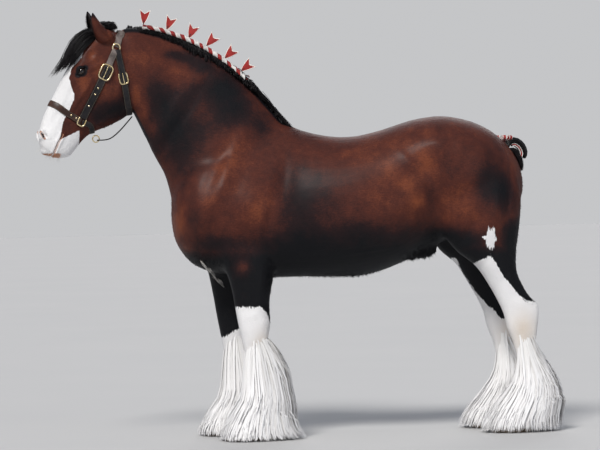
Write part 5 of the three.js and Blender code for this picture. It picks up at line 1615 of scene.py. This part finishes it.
def cheek(name, side):
    """The two straps of one cheek, with their rings, buckles and studs."""
    upper = [side_of(-1392, 2212, side), side_of(-1424, 2148, side), side_of(-1455, 2085, side)]
    lower = [side_of(x, z, side) for x, z in ((-1440, 2112), (-1480, 2035), (-1520, 1955), (-1584, 1828))]
    ribbon_piece(f"cheek_strap_upper_{name}", *strap_line(upper, 20, 3.5), 38, 5, PALE_LEATHER,
                 "halter_leather")
    ribbon_piece(f"cheek_strap_{name}", *strap_line(lower, 40, 5.5), 46, 5.5, DARK_LEATHER, "halter_leather",
                 "halter_cheek_" + name)
    for kind, *form in FITTINGS:
        node = kind + name
        piece(node + "_metal", frame_mesh(node, side, *form), BRASS, "brass_fittings", node)
    bm = bmesh.new()
    for x, z in STUDS:
        ball(bm, (x, on_skin(x, z, side).y + side * 8.0, z), (5.5, 3, 5.5), segments=12)
    piece("studs_" + name, settled_mesh(bm, "studs_" + name), BRASS, "brass_fittings")


def halter():
    straps = (
        ("crown_strap", "halter_crown", CROWN_WAY, 3.0, 42, 5, PALE_LEATHER),
        ("nose_strap", "halter_noseband", NOSE_WAY, 3.0, 36, 5.5, BROWN_LEATHER),
        ("throat_strap", "halter_throat", THROAT_WAY, 6.5, 38, 5, DARK_LEATHER),
        ("chin_strap", "halter_chin", CHIN_WAY, 3.0, 32, 5, DARK_LEATHER),
    )
    for name, node, way, lift, width, thick, leather in straps:
        ribbon_piece(name, *strap_line(way, lift=lift), width, thick, leather, "halter_leather", node)
    jaw = [(-1494, 0, 1706), (-1425, 0, 1712), (-1365, 0, 1755), (-1290, 0, 1836)]
    jaw = along(jaw, np.linspace(0, 1, 20))
    ribbon_piece("jaw_strap", jaw, np.array((0.4, 0, 1.0)), 13, 7, DARK_LEATHER, "halter_leather",
                 "halter_jaw")
    for name, side in SIDES.items():
        cheek(name, side)
    turn = np.linspace(0, TURN, 40)
    ring = vectors(-1500 + 19 * np.cos(turn), 2, 1714 + 19 * np.sin(turn))
    ribbon_piece("chin_ring", ring, np.array((0, -1, 0)), 7.2, 7.2, BRASS, "brass_fittings", "ring_chin",
                 round_edge=1.0)


# The dressed mane
def roll_frame(u):
    """Points of the roll, the way up out of it and the way along it."""
    def crest(share):
        return along(CREST, ROLL_SPAN[0] + (ROLL_SPAN[1] - ROLL_SPAN[0]) * share)

    run = unit(crest(u + 0.01) - crest(u - 0.01))
    up = unit(np.cross(run, np.array((0, 1, 0.0))))
    return crest(u) + np.array((0, ROLL_SIDE, 4)), up, run


def mane_roll():
    """Mane hair plaited in a roll along the crest."""
    rng = np.random.default_rng(61)
    count, steps, twists = 150, 90, 15
    u = np.linspace(0, 1, steps)
    point, up, _ = roll_frame(np.clip(u, 0.011, 0.989))
    bundle = rng.integers(0, 3, count)[:, None]
    angle = u[None] * twists * TURN + bundle * TURN / 3
    spread, turn = rng.uniform(0.2, 1, (count, 1)), rng.uniform(0, TURN, (count, 1))
    fade = np.clip(np.minimum(u, 1 - u) * 30, 0.3, 1)[None]
    high = (7.5 * np.sin(angle) + 5.5 * spread * np.sin(turn)) * fade
    wide = (7.5 * np.cos(angle) + 5.5 * spread * np.cos(turn)) * fade
    paths = point[None] + up[None] * high[..., None] + vectors(0, wide, 0)
    outward = up[None] * np.sin(angle)[..., None] + vectors(0, np.cos(angle), 0)
    width = 2.2 * rng.uniform(0.8, 1.2, count)
    hair_piece("plaited_roll", paths, outward, width, width * 0.6, BLACK_HAIR, "black_hair", "mane_roll",
               rng=rng)


RIBBON_TWISTS = 10.5


def mane_ribbons():
    """A red and a white ribbon twisted round each other along the top of the roll, and their loose ends."""
    steps = 420
    u = np.linspace(0, 1, steps)
    point, up, _ = roll_frame(np.clip(u, 0.011, 0.989))
    sideways = np.array((0, 1, 0.0))
    rng = np.random.default_rng(62)
    ribbons = (
        ("ribbon_red", 0.0, RED_RIBBON, "red_cloth", 22),
        ("ribbon_white", math.pi, WHITE_RIBBON, "white_ribbon", 27),
    )
    for name, phase, finish, slot, width in ribbons:
        angle = u * RIBBON_TWISTS * TURN + phase
        out = up * np.sin(angle)[:, None] + sideways * np.cos(angle)[:, None]
        crumple = np.interp(u, np.linspace(0, 1, 64), rng.normal(0, 1.0, 64))
        line = point + up * 6 - sideways * 13 + out * (8.5 + crumple)[:, None]
        ribbon_piece(name + "_twist", line, out, width + 2.0 * crumple, 6.5, finish, slot, name,
                     round_edge=0.6)
    end, up_end, run_end = (v[0] for v in roll_frame(np.array([0.985])))
    ends = ((-0.9, BLACK_CLOTH), (0.2, WHITE_RIBBON), (1.2, RED_RIBBON))
    for number, (lean, finish) in enumerate(ends, 1):
        way = unit(run_end * math.cos(lean) + up_end * math.sin(lean) - sideways * 0.3)
        loop = ribbon_loop(end + up_end * 8, way, unit(np.cross(way, sideways)), 24, 7)
        ribbon_piece(f"ribbon_end_{number}", *loop, 12, 1.8, finish, "red_cloth", round_edge=0.5)


FLAG_STEM, FLAG_LONG, FLAG_NOTCH = 10, 86, 22
FLAG_SHIFT = (14, -8)  # of every flag's foot, in x and z
# The side of a flag: (height as a share, half width)
FLAG_SIDE = np.array([(0.0, 2), (0.1, 8), (0.42, 20), (0.74, 28), (1.0, 33)])


def flag(number, x, z, lean):
    """A notched flag of thin cloth with a bound edge, on a short stem in the roll."""
    name = f"flag_{number}"
    cos, sin = math.cos(lean), math.sin(lean)
    foot_x, foot_z = x + FLAG_SHIFT[0], z + FLAG_SHIFT[1]

    def stand(a, b, y):
        return vectors(foot_x + a * cos + b * sin, ROLL_SIDE + y, foot_z + b * cos - a * sin)

    bm = bmesh.new()
    layer = bm.verts.layers.float.new("border")
    made = bmesh.ops.create_grid(bm, x_segments=24, y_segments=24, size=0.5)["verts"]
    co = np.array([v.co for v in made])
    across, up = co[:, 0] * 2, co[:, 1] + 0.5
    half = np.interp(up, *FLAG_SIDE.T)
    top = FLAG_LONG - FLAG_NOTCH * (1 - np.abs(across))
    curl = 2.2 * np.sin(across * 2.2 + number) * up
    away = np.minimum(half * (1 - np.abs(across)), (top - up * top) * 0.86)
    border = np.clip((7.6 - away) / 8, 0, 1)
    for v, point, value in zip(made, stand(half * across, FLAG_STEM + up * top, curl), border):
        v.co = point
        v[layer] = value
    bmesh.ops.solidify(bm, geom=bm.faces[:], thickness=1.8)
    piece(name + "_cloth", settled_mesh(bm, name), FLAG_CLOTH, "red_cloth", name)
    stem = stand(0, np.linspace(-10, FLAG_STEM + 26, 8), np.linspace(0, 0.8, 8))
    ribbon_piece(name + "_stem", stem, np.array((0, -1, 0)), 4.6, 4.6, BLACK_CLOTH, "black_hair",
                 round_edge=1.0)


def flags():
    for number, place in enumerate(FLAG_PLACES, 1):
        flag(number, *place)


# Short coat
def coat_roots(rng, count, weigh):
    """Random places on the skin, as likely as weigh says, with the way out of the skin there."""
    surface = Surface(skin_mesh)
    surface.points = straight_skin
    corners = straight_skin[surface.triangles]
    flat = np.cross(corners[:, 1] - corners[:, 0], corners[:, 2] - corners[:, 0])
    area = np.linalg.norm(flat, axis=1)
    middle = corners.mean(axis=1)
    normal = unit(flat)
    weight = area * weigh(middle, normal)
    chosen = rng.choice(len(area), count, p=weight / weight.sum())
    share = rng.dirichlet((1, 1, 1), count)
    return np.einsum("nk,nkj->nj", share, corners[chosen]), normal[chosen]


COAT_TUFTS = 11500  # in each of the two pieces
COAT_LENGTH = 6.5
# Where the coat is longer: (x, z, reach along x, along z, length of the hair, how dense)
LONG_COAT = [
    (-1420, 1770, 110, 60, 13, 3), (-1560, 1690, 50, 40, 12, 2), (-1060, 1300, 60, 200, 9, 2),
    (-900, 1020, 120, 60, 13, 3), (-540, 930, 50, 120, 18, 5), (-560, 700, 40, 90, 16, 5),
    (0, 905, 420, 30, 15, 3), (340, 1010, 110, 50, 24, 5), (400, 1120, 60, 90, 14, 4),
    (900, 1380, 50, 180, 10, 3), (900, 1000, 60, 150, 15, 4), (955, 760, 40, 60, 16, 4),
    (-1480, 2300, 60, 60, 10, 2),
]


def long_coat(p):
    """The length of the coat and how dense its tufts are."""
    x, _, z = p.T
    length = np.full(len(p), COAT_LENGTH)
    dense = np.full(len(p), 1.0)
    for *place, long, more in LONG_COAT:
        near = swell(x, z, *place)
        length = np.maximum(length, COAT_LENGTH + (long - COAT_LENGTH) * near)
        dense = np.maximum(dense, 1 + more * near)
    face = (x < -1300) & (z > 1580)
    length = np.where(face & (length < 7), 3.6, length)
    length = np.where((z < 640) & (length < 7), 5.0, length)
    return length, dense


def coat_tufts():
    """Tufts that lie back along the body: a piece all over, and one more where the coat is longer."""
    rng = np.random.default_rng(71)
    count = COAT_TUFTS
    for number in (1, 2):
        def weigh(p, _):
            longest, dense = long_coat(p)
            return dense * (p[:, 2] > 120) * (1.0 if number == 1 else (longest > 8) * 1.0)

        root, normal = coat_roots(rng, count, weigh)
        length = long_coat(root)[0] * rng.uniform(0.7, 1.15, count)
        low = np.clip((1150 - root[:, 2]) / 200, 0, 1)
        way = vectors(0.85 - 0.75 * low, 0, -0.5 - 0.6 * low)
        way = np.where((root[:, 0] < -1300)[:, None], np.array((-0.5, 0, -0.85)), way)
        way = unit(way - np.sum(way * normal, -1, keepdims=True) * normal + rng.normal(0, 0.16, (count, 3)))
        t = np.array([0, 0.35, 0.7, 1.0])[None, :, None]
        reach = length[:, None, None]
        out = normal[:, None] * (-1.2 + reach * (0.42 * t - 0.14 * t * t))
        paths = root[:, None] + way[:, None] * (reach * t) + out
        width = np.clip(length * 0.1, 0.45, 1.4) * rng.uniform(0.7, 1.2, count)
        hair_piece(f"coat_tufts_{number}", paths, normal, width, width * 0.5, TUFTS, "bay_coat", rng=rng,
                   root_uv=body_uv(root), marked=True)


def eye_point(a, b, c, side):
    """A place near an eye from its own frame: along the opening, across it and outwards."""
    cos, sin = math.cos(EYE_TILT), math.sin(EYE_TILT)
    return np.stack([EYE[0] + a * cos - b * sin, side * (EYE[1] + c), EYE[2] + a * sin + b * cos], -1)


def eyelashes(rng):
    count = 60
    lashes = []
    t = np.linspace(0, 1, 5)[None]
    for side in SIDES.values():
        a = rng.uniform(-22, 20, count)[:, None]
        b = UPPER_LID * (1 - (a / EYE_HALF) ** 2)
        c = np.sqrt(np.maximum(30.0**2 - a**2 - b**2, 0)) - 1.5
        long = rng.uniform(11, 18, (count, 1))
        lashes.append(eye_point(a - 3 * t, b + long * (0.3 * t * t - 0.25 * t), c + long * t * 0.85, side))
    paths = np.concatenate(lashes)
    width = np.full(len(paths), 0.75)
    hair_piece("eyelashes", paths, np.tile((0, 0, 1.0), (len(paths), 1)), width, width * 0.7, BLACK_HAIR,
               "black_hair", rng=rng)


def whiskers(rng):
    """Fine pale hairs that stand out of the muzzle and droop."""
    count = 110

    def weigh(p, normal):
        x, _, z = p.T
        return ((x < -1690) & (z < 1720) & (normal[:, 0] < 0.4)) * 1.0

    root, normal = coat_roots(rng, count, weigh)
    long = rng.uniform(14, 40, (count, 1, 1))
    t = np.linspace(0, 1, 6)[None, :, None]
    droop = np.array((0, 0, -1.0)) * long * 0.25 * t * t
    paths = root[:, None] + normal[:, None] * (long * t - 1.5) + droop
    width = np.full(count, 0.32)
    hair_piece("whiskers", paths, np.tile((0, 0, 1.0), (count, 1)), width, width, PALE_HAIR, "white_hair",
               rng=rng, root_uv=body_uv(root))


def elbow_hair(rng):
    """Pale hair on the forearms, at the elbows."""
    count = 150
    side = rng.choice((LEFT, RIGHT), count)
    u = rng.uniform(0, 1, count)
    x, z = -930 + 130 * u, 1012 - 130 * u
    roots, found = [], []
    for i in range(count):
        shift = FORE_STAGGER * 0.75 if side[i] == RIGHT else 0
        hit = on_skin(x[i] + shift + rng.normal(0, 5), z[i] + rng.normal(0, 5), side[i], 500)
        found.append(hit is not None and abs(hit.y) > 60)
        roots.append(np.array(hit) if hit is not None else np.zeros(3))
    roots, side = np.array(roots)[found], side[found]
    count = len(roots)
    out = vectors(-0.2, side * 1.0, 0)
    t = np.linspace(0, 1, 6)[None, :, None]
    way = np.array((0.62, 0, -0.78)) * (rng.uniform(22, 44, (count, 1, 1)) * t)
    paths = roots[:, None] + way + out[:, None] * (10 * np.sin(t * 2.2) - 2)
    width = np.full(count, 1.0)
    hair_piece("elbow_hair", paths, out, width, width * 0.5, PALE_HAIR, "white_hair", rng=rng,
               root_uv=body_uv(roots))


def fine_hairs():
    rng = np.random.default_rng(81)
    eyelashes(rng)
    whiskers(rng)
    elbow_hair(rng)


def ear_hair():
    """Fine hair that lines the cup of each ear and fringes its edges."""
    rng = np.random.default_rng(91)
    count = 900
    heights = [row[0] for row in EAR]
    for name, side in SIDES.items():
        height = rng.uniform(14, 160, count)
        place = np.interp(height, heights, np.linspace(0, 1, len(EAR)))
        _, wide, deep, forward = along(EAR, place).T
        angle = rng.uniform(-0.5, 0.5, count) * TURN * 0.84
        fringe = np.abs(angle) > 2.1
        inward = np.where(fringe, 1.5, 4.0)
        root = vectors(forward + (deep - inward) * np.cos(angle), (wide - inward) * np.sin(angle), height)
        way = vectors(-0.45 - 0.3 * fringe, -0.35 * np.sign(angle) * (1 - fringe), 0.85)
        long = np.where(fringe, 16, 22) * rng.uniform(0.6, 1.1, count)
        long = long * np.clip((EAR_LENGTH - height) / 70, 0.3, 1)
        t = np.linspace(0, 1, 5)[None, :, None]
        paths = root[:, None] + unit(way)[:, None] * (long[:, None, None] * t)
        paths = ear_place(paths + rng.normal(0, 1.0, (count, 1, 3)) * t * 3, side)
        width = 0.8 * rng.uniform(0.7, 1.2, count)
        outward = np.tile((-1.0, side * 0.6, 0), (count, 1))
        hair_piece(f"ear_hair_{name}", paths, outward, width, width * 0.5, EAR_HAIR, "black_hair", rng=rng)


dock_hair()
tail_bun()
tail_ribbons()
tail_bow()
halter()
mane_roll()
mane_ribbons()
flags()
coat_tufts()
fine_hairs()
ear_hair()


# Eyes and hooves
def eyeballs():
    for name, side in SIDES.items():
        bm = bmesh.new()
        made = bmesh.ops.create_uvsphere(bm, u_segments=48, v_segments=32, radius=EYE_RADIUS)["verts"]
        bmesh.ops.rotate(bm, cent=(0, 0, 0), matrix=Matrix.Rotation(math.pi / 2, 3, "X"), verts=made)
        for v in made:
            bulge = math.exp(-((math.hypot(v.co.x, v.co.z) / 13) ** 2))
            v.co.y *= 1 + 0.05 * bulge
        bmesh.ops.translate(bm, vec=(EYE[0], side * EYE[1], EYE[2]), verts=made)
        mesh = mesh_of(bm, "eyeball_" + name)
        points = read_points(mesh)
        a, b, c = eye_frame(points, side)
        for way, value in (("across", a), ("level", b), ("depth", c)):
            write_attribute(mesh, way, value / EYE_RADIUS)
        write_points(mesh, settle(points))
        piece("eyeball_" + name, mesh, EYE_WET, "eye", "eye_" + name)


def hooves():
    for leg, (rows, _) in LEGS.items():
        ax, az, bx, bz = rows[-1][:4]
        y = rows[-1][8]
        form = np.array([
            (ax - 3, az, bx + 3, bz, 68, 0.48, 2.1, 2.1, y),
            (ax - HOOF_TOE * 0.2, az * 0.82, bx + 5, bz * 0.8, 74, 0.48, 2.1, 2.1, y),
            (ax - HOOF_TOE * 0.5, az * 0.5, bx + 6, bz * 0.5, 82, 0.47, 2.1, 2.2, y),
            (ax - HOOF_TOE, 0, ax - HOOF_TOE + HOOF_LENGTH, 0, HOOF_WIDTH / 2, 0.46, 2.1, 2.3, y),
        ])
        bm = bmesh.new()
        loft(bm, form, 48, 14, grow=0)
        name = leg.replace("leg", "hoof")
        piece(name + "_horn", settled_mesh(bm, name), HORN, "hoof_horn", name)


eyeballs()
hooves()

# Camera, floor and light
AIM = np.array([-344, 0, 1199]) + SHIFT
CAMERA_AZIMUTH = math.radians(-6)
CAMERA_DOWN = math.radians(1)
CAMERA_ROLL = math.radians(-1.3)
CAMERA_DISTANCE = 18.0
LENS, SENSOR = 189.5, 36  # millimetres
CHEST_HEIGHT = (0, 0, 1.2)
FLOOR_HALF, FLOOR_DROP = 60, 0.0005


def camera():
    lens = bpy.data.cameras.new("camera")
    lens.lens = LENS
    lens.sensor_width = SENSOR
    lens.clip_end = 200
    made = new_object("camera", lens)
    back = Vector((
        math.sin(CAMERA_AZIMUTH) * math.cos(CAMERA_DOWN),
        -math.cos(CAMERA_AZIMUTH) * math.cos(CAMERA_DOWN),
        math.sin(CAMERA_DOWN)))
    made.location = Vector(AIM * MM) + back * CAMERA_DISTANCE
    made.rotation_mode = "QUATERNION"
    made.rotation_quaternion = back.to_track_quat("Z", "Y") @ Quaternion((0, 0, 1), CAMERA_ROLL)
    bpy.context.scene.camera = made


def light(name, kind, place, aim, power, colour=(1, 1, 1), **settings):
    """A lamp at a place that shines towards its aim."""
    lamp = bpy.data.lights.new(name, kind)
    lamp.energy = power
    lamp.color = colour
    for setting, value in settings.items():
        setattr(lamp, setting, value)
    made = new_object(name, lamp)
    made.location = place
    made.rotation_mode = "QUATERNION"
    made.rotation_quaternion = (Vector(place) - Vector(aim)).to_track_quat("Z", "Y")


def studio_floor():
    bm = bmesh.new()
    bmesh.ops.create_grid(bm, x_segments=4, y_segments=4, size=FLOOR_HALF)
    finish = Finish("studio_floor", Roughness=0.9)
    patch = finish.noise(finish.place(), 0.7, 3.0)
    floor = new_object("floor", mesh_of(bm, "floor"))
    floor.location.z = -FLOOR_DROP
    colour = finish.mix(patch, (0.5, 0.5, 0.5), (0.535, 0.53, 0.525))
    floor.data.materials.append(finish.feed(Base_Color=colour))


def studio_air():
    """Soft cool light from all round, with a plain pale grey where the camera sees past the floor."""
    world = bpy.data.worlds.new("studio")
    world.use_nodes = True
    tree = world.node_tree
    glow = tree.nodes["Background"]
    glow.inputs["Color"].default_value = (0.8, 0.86, 1.0, 1)
    glow.inputs["Strength"].default_value = 0.34
    wall = tree.nodes.new("ShaderNodeBackground")
    wall.inputs["Color"].default_value = (0.558, 0.563, 0.575, 1)
    seen = tree.nodes.new("ShaderNodeLightPath")
    blend = tree.nodes.new("ShaderNodeMixShader")
    tree.links.new(seen.outputs["Is Camera Ray"], blend.inputs[0])
    tree.links.new(glow.outputs[0], blend.inputs[1])
    tree.links.new(wall.outputs[0], blend.inputs[2])
    tree.links.new(blend.outputs[0], tree.nodes["World Output"].inputs["Surface"])
    bpy.context.scene.world = world
    bpy.context.scene.view_settings.view_transform = "Standard"


def studio_lights():
    light("key", "SUN", (-3.2, -6.4, 7.2), (0, 0, 0), 2.9, (1, 0.975, 0.94), angle=0.32)
    light("far_side", "SUN", (1.5, 7.0, 3.4), (0, 0, 0), 0.7, angle=0.6)
    light("fill", "AREA", (5.0, -8.5, 2.5), CHEST_HEIGHT, 90, (0.93, 0.96, 1), size=5.0)


camera()
studio_floor()
studio_air()
studio_lights()
